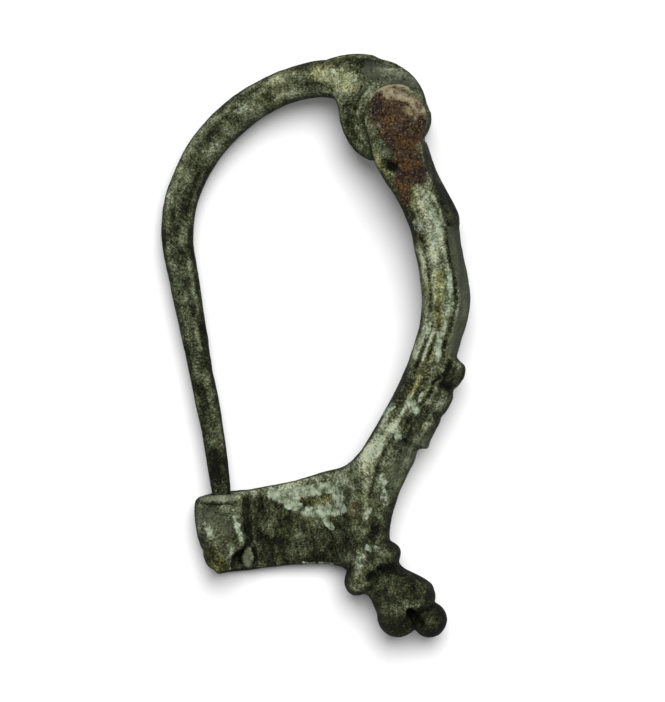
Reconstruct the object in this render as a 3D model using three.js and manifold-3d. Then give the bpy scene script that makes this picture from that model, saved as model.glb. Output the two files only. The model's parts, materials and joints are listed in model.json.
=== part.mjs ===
// Roman hinged bow brooch (fibula): a cast bronze bow, a bronze pin and the iron axle that joins them.
//
// Millimetres. The brooch is first drawn in its own plane: u runs right, v runs up towards the hinge
// and w points out of the plane, to the side that shows when the brooch lies down. The finished group
// is then laid on the floor, on the three places that carry it: a hinge lug, the foot and the catch.
import * as THREE from "three";
import { mergeVertices } from "three/addons/utils/BufferGeometryUtils.js";
import Module from "manifold-3d";

const wasm = await Module();
wasm.setup();

// ---------------------------------------------------------------- driving dimensions

const AXLE = { u: 7.95, v: 22.95, radius: 0.9, gap: 0.1, farEndW: -3.5 };
const HEAD = { lugRadius: 3.15, halfWidth: 3.6, slotHalfWidth: 2.25, slotRadius: 3.62 };
const HEEL_SLOT = { radius: 5.7, from: -195, to: -74 }; // degrees about the axle, where the heel turns
const RUST_CAP = { radius: 2.75, height: 0.62, gap: 0.06 }; // a low dome over the near lug

// Places along the bow, from the axle to the foot: the spine's point, how far the casting reaches to
// the inside and the outside of it, its half width across, and how square its section is.
const BOW_STATIONS = [
  { u: 7.95, v: 22.95, inner: 3.15, outer: 3.15, halfWidth: 3.6, squareness: 10 },
  { u: 8.3, v: 20.6, inner: 3.0, outer: 2.5, halfWidth: 3.6, squareness: 10 },
  { u: 9.1, v: 17.7, inner: 2.85, outer: 2.55, halfWidth: 3.55, squareness: 6 },
  { u: 10.5, v: 14.9, inner: 2.4, outer: 2.5, halfWidth: 3.4, squareness: 4 },
  { u: 11.8, v: 11.8, inner: 2.45, outer: 2.5, halfWidth: 3.3, squareness: 3.4 },
  { u: 12.55, v: 8.6, inner: 2.4, outer: 2.1, halfWidth: 3.2, squareness: 3.2 },
  { u: 12.9, v: 3.6, inner: 2.45, outer: 2.35, halfWidth: 3.1, squareness: 3.2 },
  { u: 11.8, v: -0.4, inner: 2.15, outer: 2.15, halfWidth: 2.9, squareness: 3.2 },
  { u: 10.2, v: -4.3, inner: 2.0, outer: 2.2, halfWidth: 2.75, squareness: 3.2 },
  { u: 8.1, v: -8.3, inner: 2.15, outer: 2.25, halfWidth: 2.7, squareness: 3.2 },
  { u: 7.3, v: -9.7, inner: 2.2, outer: 2.85, halfWidth: 2.65, squareness: 3.2 },
  { u: 6.4, v: -11.6, inner: 2.45, outer: 2.85, halfWidth: 2.6, squareness: 3.2 },
  { u: 5.7, v: -15.4, inner: 2.0, outer: 2.15, halfWidth: 2.5, squareness: 3 },
  { u: 5.7, v: -18.6, inner: 2.0, outer: 1.5, halfWidth: 2.5, squareness: 3 },
  { u: 5.7, v: -22.0, inner: 1.8, outer: 1.8, halfWidth: 2.4, squareness: 2.6 },
];
const BOW_SIDES = 18;
const BOW_STEPS = 84;

// Cross mouldings on the outside of the lower bow: a raised band that ends in a step, one ridge
// standing higher at its upper end, and two shallow cuts across it. Heights are v of the spine.
const MOULDED_BAND = { top: -0.6, bottom: -8.75, rise: 1.2, spread: 0.12, ramp: 0.6 };
const TOP_RIDGE = { at: -1.7, width: 0.6, rise: 0.2 };
const BAND_CUTS = [{ at: -3.3, width: 0.4, rise: -0.4 }, { at: -6.0, width: 0.35, rise: -0.28 }];

const CATCH = {
  backW: -2.2,
  frontW: -0.7,
  flapTopW: 2.5,
  flapUnderW: 1.5,
  foldU: -12.5,
  channelU: -10.95,
  flapEdgeU: -7.35,
  flapEdgeRound: 0.3,
  fillet: { fromU: 0.3, bendU: 3.7, toU: 5.0, toW: 2.3 },
  rootU: 6.6,
  topV: -8,
  bottomV: -26,
  edgeBevel: 0.25,
};

const FOOT = { u: 5.55, v: -22.3, directionU: 0.69, directionV: -0.724, sides: 26 };
// The foot's turned outline about its own axis: [distance past the collar's middle, radius].
const FOOT_OUTLINE = [
  [-1.7, 0], [-1.7, 2.5], [-1.0, 3.15], [-0.35, 3.42], [0.35, 3.4], [0.85, 2.95], [1.2, 2.35],
  [1.7, 2.3], [3.2, 2.8], [4.5, 3.22], [5.2, 3.3], [5.8, 2.98], [6.15, 2.2], [6.2, 0],
];
const FOOT_BALL = { u: 11.15, v: -27.35, w: -0.4, radius: 1.8 };
const FOOT_LOBES = [{ u: 8.05, v: -26.95, w: 0.1, radius: 2.15 }, { u: 10.0, v: -25.0, w: 0.1, radius: 1.9 }];
const FOOT_HOLLOW = { u: 9.6, v: -27.3, w: 2.3, across: 0.8, along: 1.7, deep: 2.1 };

// Places along the pin's middle line: in-plane half thickness, half depth across, and its offset w.
const PIN_STATIONS = [
  { u: 3.4, v: 26.6, thick: 2.0, deep: 1.9, w: 0 },
  { u: -0.05, v: 26.8, thick: 1.85, deep: 1.88, w: 0 },
  { u: -3.1, v: 26.05, thick: 1.75, deep: 1.8, w: 0 },
  { u: -6.15, v: 24.65, thick: 1.72, deep: 1.7, w: 0 },
  { u: -8.9, v: 22.55, thick: 1.73, deep: 1.65, w: 0 },
  { u: -11.25, v: 19.95, thick: 1.72, deep: 1.6, w: 0.02 },
  { u: -12.95, v: 17.0, thick: 1.68, deep: 1.58, w: 0.04 },
  { u: -13.95, v: 14.0, thick: 1.6, deep: 1.52, w: 0.06 },
  { u: -14.2, v: 11.2, thick: 1.58, deep: 1.5, w: 0.1 },
  { u: -13.55, v: 6.6, thick: 1.44, deep: 1.4, w: 0.16 },
  { u: -12.7, v: 2.0, thick: 1.27, deep: 1.25, w: 0.22 },
  { u: -11.85, v: -2.4, thick: 1.16, deep: 1.15, w: 0.28 },
  { u: -11.0, v: -6.6, thick: 1.12, deep: 1.1, w: 0.33 },
  { u: -10.3, v: -10.8, thick: 1.02, deep: 1.0, w: 0.38 },
  { u: -9.8, v: -14.4, thick: 0.92, deep: 0.9, w: 0.4 },
  { u: -9.45, v: -17.6, thick: 0.76, deep: 0.76, w: 0.4 },
  { u: -9.2, v: -20.3, thick: 0.3, deep: 0.3, w: 0.4 },
];
const PIN_SIDES = 13;
const PIN_STEPS = 56;

const PIN_PLATE = {
  halfThickness: 1.95,
  bevel: 0.35,
  crown: { u: 5.55, v: 23.4, radius: 5.25 },
  backRadius: 3.35,
};

const BRONZE_COLOUR = 0x4f5646;
const PIN_COLOUR = 0x4a5340;
const RUST_COLOUR = 0x5f4029;

// ---------------------------------------------------------------- solids and small helpers

// A closed three.js geometry as a solid that can be joined and cut.
function solid(geometry) {
  const bare = geometry.clone();
  bare.deleteAttribute("normal");
  bare.deleteAttribute("uv");
  const merged = mergeVertices(bare, 1e-4);
  return new wasm.Manifold(new wasm.Mesh({
    numProp: 3,
    vertProperties: new Float32Array(merged.attributes.position.array),
    triVerts: new Uint32Array(merged.index.array),
  }));
}

function namedMesh(name, body, material) {
  const { vertProperties, triVerts } = body.getMesh();
  const geometry = new THREE.BufferGeometry();
  geometry.setAttribute("position", new THREE.BufferAttribute(vertProperties, 3));
  geometry.setIndex(new THREE.BufferAttribute(triVerts, 1));
  geometry.computeVertexNormals();
  const mesh = new THREE.Mesh(geometry, material);
  mesh.name = name;
  return mesh;
}

const radians = THREE.MathUtils.degToRad;

// A value with the rounding noise near 0 taken off, so that both sides of a seam agree.
const snapped = (value) => (value < 1e-6 ? 0 : value);

// 1 inside a ridge centred at `at`, falling smoothly to 0 one and a half widths away.
function ridge(position, { at, width }) {
  return Math.exp(-(((position - at) / width) ** 2));
}

// 1 between bottom and top, with ramps of the given length at both ends.
function band(position, { top, bottom, ramp }) {
  const rise = THREE.MathUtils.smoothstep(position, bottom - ramp / 2, bottom + ramp / 2);
  const fall = 1 - THREE.MathUtils.smoothstep(position, top - ramp / 2, top + ramp / 2);
  return rise * fall;
}

// Smooth values between stations: `read` gives three numbers for a station.
function throughStations(stations, read) {
  return new THREE.CatmullRomCurve3(stations.map((station) => new THREE.Vector3(...read(station))));
}

// A unit cylinder bent along a spine in the brooch's plane. `girth(along)` gives how far the section
// reaches on its right and left side, across, and its squareness (2 is an ellipse).
function bentCylinder(spine, sides, steps, girth) {
  const geometry = new THREE.CylinderGeometry(1, 1, 1, sides, steps);
  const position = geometry.attributes.position;
  const vertex = new THREE.Vector3();
  const squared = (value, squareness) => Math.sign(value) * snapped(Math.abs(value)) ** (2 / squareness);
  for (let i = 0; i < position.count; i += 1) {
    vertex.fromBufferAttribute(position, i);
    const along = vertex.y + 0.5;
    const centre = spine.getPoint(along);
    const heading = spine.getTangent(along).setZ(0).normalize();
    const section = girth(along, centre);
    const side = squared(vertex.x, section.squareness);
    const reach = side * (side > 0 ? section.right : section.left);
    position.setXYZ(
      i,
      centre.x + heading.y * reach,
      centre.y - heading.x * reach,
      centre.z + squared(vertex.z, section.squareness) * section.halfWidth,
    );
  }
  return geometry;
}

// An outline in the brooch's plane, given thickness across it between two w values.
function slab(shape, lowW, highW, bevel = 0) {
  const depth = highW - lowW - 2 * bevel;
  const geometry = new THREE.ExtrudeGeometry(shape, {
    depth,
    bevelEnabled: bevel > 0,
    bevelThickness: bevel,
    bevelSize: bevel,
    bevelOffset: -bevel,
    bevelSegments: 1,
    curveSegments: 12,
  });
  return geometry.translate(0, 0, lowW + bevel);
}

// A round bar or disc about the hinge's axis, between two w values.
function hingeDisc(radius, lowW, highW, sides) {
  return new THREE.CylinderGeometry(radius, radius, highW - lowW, sides)
    .rotateX(Math.PI / 2)
    .translate(AXLE.u, AXLE.v, (lowW + highW) / 2);
}

// The hole for the axle, through everything within a half thickness of the middle plane.
function axleHole(halfThickness) {
  return solid(hingeDisc(AXLE.radius + AXLE.gap, -halfThickness - 1, halfThickness + 1, 32));
}

// ---------------------------------------------------------------- the bow casting

function bowSection(spineSizes, squarenessAlong) {
  return (along, centre) => {
    const sizes = spineSizes.getPoint(along);
    const raised = band(centre.y, MOULDED_BAND);
    let moulding = MOULDED_BAND.rise * raised + TOP_RIDGE.rise * ridge(centre.y, TOP_RIDGE);
    for (const cut of BAND_CUTS) moulding += cut.rise * ridge(centre.y, cut);
    return {
      right: sizes.x,
      left: sizes.y + moulding,
      halfWidth: sizes.z + MOULDED_BAND.spread * raised,
      squareness: squarenessAlong.getPoint(along).x,
    };
  };
}

function bowBody() {
  const spine = throughStations(BOW_STATIONS, ({ u, v }) => [u, v, 0]);
  const sizes = throughStations(BOW_STATIONS, ({ inner, outer, halfWidth }) => [inner, outer, halfWidth]);
  const squareness = throughStations(BOW_STATIONS, (station) => [station.squareness, 0, 0]);
  return solid(bentCylinder(spine, BOW_SIDES, BOW_STEPS, bowSection(sizes, squareness)));
}

// The slot between the lugs: round about the axle, and deeper on the inner side, where the heel turns.
function hingeSlot() {
  const { radius, from, to } = HEEL_SLOT;
  const heel = new THREE.Shape();
  heel.absarc(AXLE.u, AXLE.v, radius, radians(from), radians(to), false);
  heel.lineTo(AXLE.u, AXLE.v);
  const { slotRadius, slotHalfWidth } = HEAD;
  const round = solid(hingeDisc(slotRadius, -slotHalfWidth, slotHalfWidth, 36));
  return round.add(solid(slab(heel, -slotHalfWidth, slotHalfWidth)));
}

// The catchplate seen square on: a plate that leaves the lower bow and ends in the rolled catch.
function catchOutline() {
  const outline = new THREE.Shape();
  outline.moveTo(5.6, -9.6);
  outline.lineTo(3.5, -11.2);
  outline.bezierCurveTo(1.6, -12.85, -2.6, -13.75, -11.1, -14.9);
  outline.quadraticCurveTo(-12.3, -15.0, -12.5, -16.4);
  outline.lineTo(-12.45, -17.6);
  outline.lineTo(-11.7, -20.4);
  outline.lineTo(-11.5, -21.3);
  outline.quadraticCurveTo(-11.1, -22.8, -10.0, -22.9);
  outline.bezierCurveTo(-6.0, -22.5, -2.0, -21.8, 1.8, -22.1);
  outline.lineTo(4.2, -22.9);
  outline.lineTo(CATCH.rootU, -21.0);
  outline.lineTo(CATCH.rootU, -12.0);
  return outline;
}

// The catchplate cut across: the flat plate, the catch rolled over into a channel for the pin, and
// the hollow curve that lifts the plate's front to the side of the bow.
function catchProfile() {
  const { backW, frontW, flapTopW, flapUnderW, foldU, channelU, flapEdgeU, flapEdgeRound, fillet } = CATCH;
  const outerRadius = (flapTopW - backW) / 2;
  const innerRadius = (flapUnderW - frontW) / 2;
  const quarter = Math.PI / 2;
  const profile = new THREE.Shape();
  profile.moveTo(CATCH.rootU + 1, backW);
  profile.lineTo(foldU + outerRadius, backW);
  profile.absarc(foldU + outerRadius, backW + outerRadius, outerRadius, -quarter, -3 * quarter, true);
  profile.lineTo(flapEdgeU - flapEdgeRound, flapTopW);
  profile.quadraticCurveTo(flapEdgeU, flapTopW, flapEdgeU, (flapTopW + flapUnderW) / 2);
  profile.quadraticCurveTo(flapEdgeU, flapUnderW, flapEdgeU - flapEdgeRound, flapUnderW);
  profile.lineTo(channelU + innerRadius, flapUnderW);
  profile.absarc(channelU + innerRadius, frontW + innerRadius, innerRadius, quarter, 3 * quarter, false);
  profile.lineTo(fillet.fromU, frontW);
  profile.quadraticCurveTo(fillet.bendU, frontW, fillet.toU, fillet.toW);
  profile.lineTo(CATCH.rootU + 1, fillet.toW);
  return profile;
}

function catchBody() {
  const { backW, flapTopW, topV, bottomV, edgeBevel } = CATCH;
  const cutAcross = new THREE.ExtrudeGeometry(catchProfile(), {
    depth: topV - bottomV,
    bevelEnabled: false,
    curveSegments: 8,
  }).rotateX(Math.PI / 2).translate(0, topV, 0);
  const squareOn = slab(catchOutline(), backW, flapTopW + 2 * edgeBevel, edgeBevel);
  return solid(squareOn).intersect(solid(cutAcross));
}

function footSphere({ u, v, w, radius }, sides) {
  return solid(new THREE.SphereGeometry(radius, sides, Math.round(sides / 1.6)).translate(u, v, w));
}

function footBody() {
  const axis = new THREE.Vector3(FOOT.directionU, FOOT.directionV, 0).normalize();
  const turn = new THREE.Quaternion().setFromUnitVectors(new THREE.Vector3(0, 1, 0), axis);
  const outline = FOOT_OUTLINE.map(([along, radius]) => new THREE.Vector2(radius, along));
  const turned = new THREE.LatheGeometry(outline, FOOT.sides)
    .applyQuaternion(turn)
    .translate(FOOT.u, FOOT.v, 0);
  const hollow = new THREE.SphereGeometry(1, 14, 10)
    .scale(FOOT_HOLLOW.across, FOOT_HOLLOW.along, FOOT_HOLLOW.deep)
    .applyQuaternion(turn)
    .translate(FOOT_HOLLOW.u, FOOT_HOLLOW.v, FOOT_HOLLOW.w);
  const lobes = FOOT_LOBES.map((lobe) => footSphere(lobe, 16));
  return lobes
    .reduce((body, lobe) => body.add(lobe), solid(turned))
    .subtract(solid(hollow))
    .add(footSphere(FOOT_BALL, 18));
}

function bow() {
  return bowBody()
    .add(solid(hingeDisc(HEAD.lugRadius, -HEAD.halfWidth, HEAD.halfWidth, 36)))
    .add(catchBody())
    .add(footBody())
    .subtract(hingeSlot())
    .subtract(axleHole(HEAD.halfWidth));
}

// ---------------------------------------------------------------- the pin

// The pin's hinge plate: a crown larger than the lugs, round behind the axle, with a heel that hangs
// into the slot on the inner side.
function pinPlateOutline() {
  const { crown, backRadius } = PIN_PLATE;
  const outline = new THREE.Shape();
  outline.moveTo(0.2, 28.2);
  outline.quadraticCurveTo(2.6, 29.2, 5.2, 29.15);
  outline.absarc(crown.u, crown.v, crown.radius, radians(80), radians(5), true);
  outline.absarc(AXLE.u, AXLE.v, backRadius, radians(8), radians(-86), true);
  outline.quadraticCurveTo(7.0, 18.6, 5.3, 18.6);
  outline.quadraticCurveTo(3.6, 19.2, 2.75, 20.95);
  outline.quadraticCurveTo(2.3, 22.0, 1.95, 24.4);
  outline.quadraticCurveTo(1.7, 25.2, 0.2, 25.4);
  return outline;
}

function pin() {
  const middle = throughStations(PIN_STATIONS, ({ u, v, w }) => [u, v, w]);
  const sizes = throughStations(PIN_STATIONS, ({ thick, deep }) => [thick, deep, 0]);
  const arm = bentCylinder(middle, PIN_SIDES, PIN_STEPS, (along) => {
    const { x: thick, y: deep } = sizes.getPoint(along);
    return { right: thick, left: thick, halfWidth: deep, squareness: 2.2 };
  });
  const { halfThickness, bevel } = PIN_PLATE;
  const plate = slab(pinPlateOutline(), -halfThickness, halfThickness, bevel);
  return solid(arm).add(solid(plate)).subtract(axleHole(halfThickness));
}

// ---------------------------------------------------------------- the iron axle

// The bar through the hinge, with the low cap of rust that has swollen over the lug's outer face.
function axle() {
  const { radius, height, gap } = RUST_CAP;
  const capFloorW = HEAD.halfWidth + gap;
  const outline = [[0, 0], [radius, 0], [radius, 0.12 * height], [0.8 * radius, 0.72 * height],
    [0.45 * radius, height], [0, height]].map(([r, h]) => new THREE.Vector2(r, h));
  const cap = new THREE.LatheGeometry(outline, 28)
    .rotateX(Math.PI / 2)
    .translate(AXLE.u, AXLE.v, capFloorW);
  return solid(hingeDisc(AXLE.radius, AXLE.farEndW, capFloorW + height / 2, 24)).add(solid(cap));
}

// ---------------------------------------------------------------- the brooch, lying on the floor

// The three places that touch the floor, as tests on a vertex of the bow casting.
const FEET = [
  (vertex) => vertex.y > AXLE.v / 2,
  (vertex) => vertex.y < FOOT.v / 2 && vertex.x > 0,
  (vertex) => vertex.x < CATCH.flapEdgeU,
];

// The floor's upward normal in the brooch's own axes: through the lowest vertex of each foot, found
// again until the three agree with it.
function floorNormal(geometry) {
  const position = geometry.attributes.position;
  const up = new THREE.Vector3(0, 0, 1);
  for (let round = 0; round < 6; round += 1) {
    const touches = FEET.map((isFoot) => {
      let lowest = null;
      for (let i = 0; i < position.count; i += 1) {
        const vertex = new THREE.Vector3().fromBufferAttribute(position, i);
        if (isFoot(vertex) && (lowest === null || vertex.dot(up) < lowest.dot(up))) lowest = vertex;
      }
      return lowest;
    });
    const [head, foot, fold] = touches;
    up.crossVectors(fold.clone().sub(head), foot.clone().sub(head)).normalize();
    if (up.z < 0) up.negate();
  }
  return up;
}

const brooch = new THREE.Group();
const bronze = new THREE.MeshStandardMaterial({ color: BRONZE_COLOUR, roughness: 0.72, metalness: 0.35 });
const pinBronze = new THREE.MeshStandardMaterial({ color: PIN_COLOUR, roughness: 0.7, metalness: 0.35 });
const rust = new THREE.MeshStandardMaterial({ color: RUST_COLOUR, roughness: 0.92, metalness: 0.05 });
brooch.add(namedMesh("bow", bow(), bronze));
brooch.add(namedMesh("pin", pin(), pinBronze));
brooch.add(namedMesh("axle", axle(), rust));

const lying = new THREE.Group();
lying.add(brooch);
const up = floorNormal(brooch.children[0].geometry);
brooch.quaternion.setFromUnitVectors(up, new THREE.Vector3(0, 0, 1));
lying.updateMatrixWorld(true);
const bounds = new THREE.Box3().setFromObject(lying, true);
const centre = bounds.getCenter(new THREE.Vector3());
brooch.position.set(-centre.x, -centre.y, -bounds.min.z);
lying.updateMatrixWorld(true);

export default lying;
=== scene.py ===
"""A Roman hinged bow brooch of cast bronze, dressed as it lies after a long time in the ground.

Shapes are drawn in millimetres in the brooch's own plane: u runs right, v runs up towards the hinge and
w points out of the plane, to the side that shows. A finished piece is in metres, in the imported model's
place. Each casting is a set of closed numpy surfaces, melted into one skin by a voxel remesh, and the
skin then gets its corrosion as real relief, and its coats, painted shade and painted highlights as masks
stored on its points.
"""

from __future__ import annotations

import json
import logging
from collections.abc import Sequence
from dataclasses import dataclass, field
from enum import Enum

import bpy
import numpy as np
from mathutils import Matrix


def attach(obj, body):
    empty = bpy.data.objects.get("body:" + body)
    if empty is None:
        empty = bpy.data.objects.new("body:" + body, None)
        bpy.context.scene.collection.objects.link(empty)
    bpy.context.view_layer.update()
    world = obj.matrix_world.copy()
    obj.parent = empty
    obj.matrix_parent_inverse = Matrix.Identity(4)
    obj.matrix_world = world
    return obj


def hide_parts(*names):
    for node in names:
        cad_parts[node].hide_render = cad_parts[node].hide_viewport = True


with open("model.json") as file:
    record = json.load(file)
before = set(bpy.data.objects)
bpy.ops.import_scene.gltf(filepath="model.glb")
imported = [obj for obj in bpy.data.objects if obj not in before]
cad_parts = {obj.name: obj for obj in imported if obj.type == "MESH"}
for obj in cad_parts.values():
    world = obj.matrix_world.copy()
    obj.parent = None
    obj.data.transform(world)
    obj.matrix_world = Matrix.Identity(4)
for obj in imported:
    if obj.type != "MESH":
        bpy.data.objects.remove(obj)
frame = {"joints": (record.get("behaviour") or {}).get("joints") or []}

Array = np.ndarray
Colour = tuple[float, float, float]
LOG = logging.getLogger("brooch")
MM = 0.001
W_AXIS = np.array([0.0, 0.0, 1.0])


# ---------------------------------------------------------------- curves and steps


def smoothstep(value: Array, low: float, high: float) -> Array:
    """0 below low, 1 above high, and an S curve between them (3x^2 - 2x^3)."""
    x = np.clip((value - low) / (high - low), 0.0, 1.0)
    return x * x * (3.0 - 2.0 * x)


def bump(value: Array, centre: float, width: float) -> Array:
    """A bell of height 1 about centre: e to the minus square of the distance in widths."""
    return np.exp(-(((value - centre) / width) ** 2))


def through(stations: Array, count: int) -> Array:
    """A smooth curve through rows of stations.

    Cubic Hermite pieces over the chord length of the first two columns, with tangents from the
    neighbouring rows, so every further column follows the same curve parameter.

    Args:
        stations: one row for each station.
        count: how many rows to return, evenly spaced along the curve.

    Returns:
        The rows along the curve.
    """
    knots = np.concatenate([[0.0], np.cumsum(np.hypot(*np.diff(stations[:, :2], axis=0).T))])
    slopes = np.gradient(stations, knots, axis=0)
    along = np.linspace(0.0, knots[-1], count)
    piece = np.clip(np.searchsorted(knots, along, side="right") - 1, 0, len(knots) - 2)
    span = (knots[piece + 1] - knots[piece])[:, None]
    x = (along - knots[piece])[:, None] / span
    return (
        (2 * x**3 - 3 * x**2 + 1) * stations[piece]
        + (x**3 - 2 * x**2 + x) * span * slopes[piece]
        + (3 * x**2 - 2 * x**3) * stations[piece + 1]
        + (x**3 - x**2) * span * slopes[piece + 1]
    )


def headings(path: Array) -> Array:
    """The unit direction of a path in the brooch's plane, from the difference of its neighbours."""
    steps = np.gradient(path[:, :2], axis=0)
    return steps / np.linalg.norm(steps, axis=1, keepdims=True)


# ---------------------------------------------------------------- noise on points


def lattice(cell: Array, seed: int) -> Array:
    """An even random number for each whole-numbered cell, from mixed integer products.

    Args:
        cell: whole numbers, three in the last column.
        seed: which of the endless tables of numbers to draw from.

    Returns:
        Numbers from 0 to 1.
    """
    mixed = (
        cell[..., 0] * 374761393 + cell[..., 1] * 668265263 + cell[..., 2] * 1440662683 + seed * 974711
    ) & 0xFFFFFFFF
    mixed = ((mixed ^ (mixed >> 13)) * 1274126177) & 0xFFFFFFFF
    mixed = ((mixed ^ (mixed >> 15)) * 2246822519) & 0xFFFFFFFF
    return ((mixed ^ (mixed >> 16)) & 0xFFFFFF) / float(0xFFFFFF)


def value_noise(points: Array, seed: int) -> Array:
    """Random numbers at the corners of unit cells, joined by a quintic S curve along each axis.

    Args:
        points: where to read the noise, in cells.
        seed: the noise's own number.

    Returns:
        The noise over each point, from -1 to 1.
    """
    cell = np.floor(points).astype(np.int64)
    x = points - cell
    s = x**3 * (x * (x * 6.0 - 15.0) + 10.0)
    total = np.zeros(len(points))
    for corner in np.ndindex(2, 2, 2):
        weight = np.prod(np.where(np.array(corner) == 1, s, 1.0 - s), axis=1)
        total += weight * lattice(cell + np.array(corner), seed)
    return 2.0 * total - 1.0


def fractal(points: Array, size: float, octaves: int, seed: int) -> Array:
    """Octaves of value noise added up, each half the size and 0.55 of the height of the last.

    Args:
        points: where to read the noise, in millimetres.
        size: the cell of the first octave, in millimetres.
        octaves: how many to add up.
        seed: the noise's own number.

    Returns:
        The noise over each point, from -1 to 1.
    """
    total, height, reach = np.zeros(len(points)), 1.0, 0.0
    for octave in range(octaves):
        total += height * value_noise(points * (2.0**octave / size) + 17.3 * octave, seed + octave)
        reach += height
        height *= 0.55
    return total / reach


def nearest_cell(points: Array, size: float, seed: int) -> Array:
    """The distance to the nearest of one random point in each cube, over the 27 cubes about a point.

    Args:
        points: where to measure, in millimetres.
        size: the cube's side, in millimetres.
        seed: the random points' own number.

    Returns:
        The distance from each point, in sides of the cube.
    """
    scaled = points / size
    cell = np.floor(scaled).astype(np.int64)
    best = np.full(len(points), 9.0)
    for step in np.ndindex(3, 3, 3):
        near = cell + np.array(step) - 1
        spot = near + np.stack([lattice(near, seed + axis) for axis in range(3)], axis=1)
        best = np.minimum(best, np.sum((scaled - spot) ** 2, axis=1))
    return np.sqrt(best)


# ---------------------------------------------------------------- closed surfaces


@dataclass
class Shell:
    """A closed surface: its points in millimetres, and its faces as lists of point numbers."""

    points: Array
    faces: list[list[int]]

    @classmethod
    def of_rings(cls, rings: Array) -> Shell:
        """Joins rings of points into a closed tube, with a flat face over each end.

        Args:
            rings: an array of rings, points round a ring and coordinates.

        Returns:
            The shell, with its faces turned outwards.
        """
        count, around = rings.shape[:2]
        number = np.arange(count * around).reshape(count, around)
        nextdoor = np.roll(number, -1, axis=1)
        quads = np.stack([number[:-1], nextdoor[:-1], nextdoor[1:], number[1:]], axis=-1).reshape(-1, 4)
        points = rings.reshape(-1, 3)
        a, b, c, d = (points[quads[:, i]] for i in range(4))
        flux = np.sum(np.cross(c - a, d - b) * (a + b + c + d)) / 24.0
        caps = [number[0][::-1].tolist(), number[-1].tolist()]
        faces = quads.tolist() + caps
        if flux < 0:
            faces = [face[::-1] for face in faces]
        return cls(points, faces)

    @classmethod
    def joined(cls, shells: Sequence[Shell]) -> Shell:
        """Several shells as one mesh, each keeping its own closed surface.

        Args:
            shells: the shells to put together.

        Returns:
            One shell with all their points and faces.
        """
        faces: list[list[int]] = []
        start = 0
        for shell in shells:
            faces += [[number + start for number in face] for face in shell.faces]
            start += len(shell.points)
        return cls(np.concatenate([shell.points for shell in shells]), faces)


def swept(path: Array, sections: Array) -> Shell:
    """A section carried along a path.

    A point is the path's point, plus its section's first number along the path's right hand, plus
    its second number along w.

    Args:
        path: rows of u, v and w.
        sections: for each row of the path, points round the section as side and height.

    Returns:
        The closed shell.
    """
    ahead = headings(path)
    right = np.stack([ahead[:, 1], -ahead[:, 0], np.zeros(len(ahead))], axis=1)
    rings = path[:, None, :3] + sections[..., :1] * right[:, None] + sections[..., 1:] * W_AXIS
    return Shell.of_rings(rings)


def oval(around: int, squareness: Array | float) -> tuple[Array, Array]:
    """A superellipse: the cosine and the sine, each to the power 2 / squareness, with their signs.

    Args:
        around: how many points go round it.
        squareness: 2 is an ellipse, and more is squarer. A column gives one section for each row.

    Returns:
        The side and the height of each point, from -1 to 1.
    """
    angle = np.linspace(0.0, 2.0 * np.pi, around, endpoint=False) + 0.001
    power = 2.0 / np.asarray(squareness)
    side, height = np.cos(angle), np.sin(angle)
    return np.sign(side) * np.abs(side) ** power, np.sign(height) * np.abs(height) ** power


def turned(origin: Array, axis: Array, outline: Array, around: int = 72) -> Shell:
    """An outline turned about an axis that lies in the brooch's plane.

    A point is the origin, plus the outline's distance along the axis, plus its radius times the
    cosine across the axis and the sine along w.

    Args:
        origin: where the axis starts.
        axis: the axis, of length 1.
        outline: rows of distance along the axis and radius.
        around: how many points go round a circle.

    Returns:
        The closed shell.
    """
    across = np.array([axis[1], -axis[0], 0.0])
    angle = np.linspace(0.0, 2.0 * np.pi, around, endpoint=False)
    spoke = np.cos(angle)[:, None] * across + np.sin(angle)[:, None] * W_AXIS
    rings = origin + outline[:, None, :1] * axis + outline[:, None, 1:] * spoke[None]
    return Shell.of_rings(rings)


def ellipsoid(centre: Sequence[float], radii: Sequence[float], turn: float = 0.0) -> Shell:
    """A squashed ball: sine and cosine of two angles times three radii, turned in the plane.

    Args:
        centre: u, v and w of the middle.
        radii: the reach along each axis before the turn.
        turn: the turn in the brooch's plane, in radians.

    Returns:
        The closed shell.
    """
    height = np.linspace(-np.pi / 2 + 0.02, np.pi / 2 - 0.02, 28)[:, None]
    angle = np.linspace(0.0, 2.0 * np.pi, 48, endpoint=False)[None]
    u = radii[0] * np.cos(height) * np.cos(angle)
    v = radii[1] * np.cos(height) * np.sin(angle)
    w = radii[2] * np.sin(height) * np.ones_like(angle)
    c, s = np.cos(turn), np.sin(turn)
    return Shell.of_rings(np.stack([c * u - s * v, s * u + c * v, w], axis=-1) + np.array(centre))


def pillow(centre: Array, outline: Array, half: float, softness: float) -> Shell:
    """A plate with rounded edges inside an outline seen from its centre.

    The first parameter runs round the outline. The second runs from the front's middle over the
    edge to the back's middle: the reach from the centre is a sine to the power of the softness, and
    the height a cosine to that power, times the half thickness.

    Args:
        centre: u, v and w of the middle.
        outline: points round the edge, as u and v.
        half: half of the plate's thickness.
        softness: 1 is an oval section, and near 0 a square one.

    Returns:
        The closed shell.
    """
    angle = np.linspace(0.0, np.pi, 41)
    reach = np.maximum(np.sin(angle), 0.0) ** softness
    rise = np.sign(np.cos(angle)) * np.abs(np.cos(angle)) ** softness * half
    spread = outline - centre[:2]
    rings = np.empty((len(angle), len(outline), 3))
    rings[..., :2] = centre[:2] + reach[:, None, None] * spread[None]
    rings[..., 2] = centre[2] + rise[:, None]
    return Shell.of_rings(rings)


def arc(centre: Sequence[float], radius: float, start: float, end: float, count: int) -> Array:
    """Points on a circle in the brooch's plane, between two angles in degrees."""
    angle = np.radians(np.linspace(start, end, count))
    return np.stack([centre[0] + radius * np.cos(angle), centre[1] + radius * np.sin(angle)], axis=1)


# ---------------------------------------------------------------- the brooch's place


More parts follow.
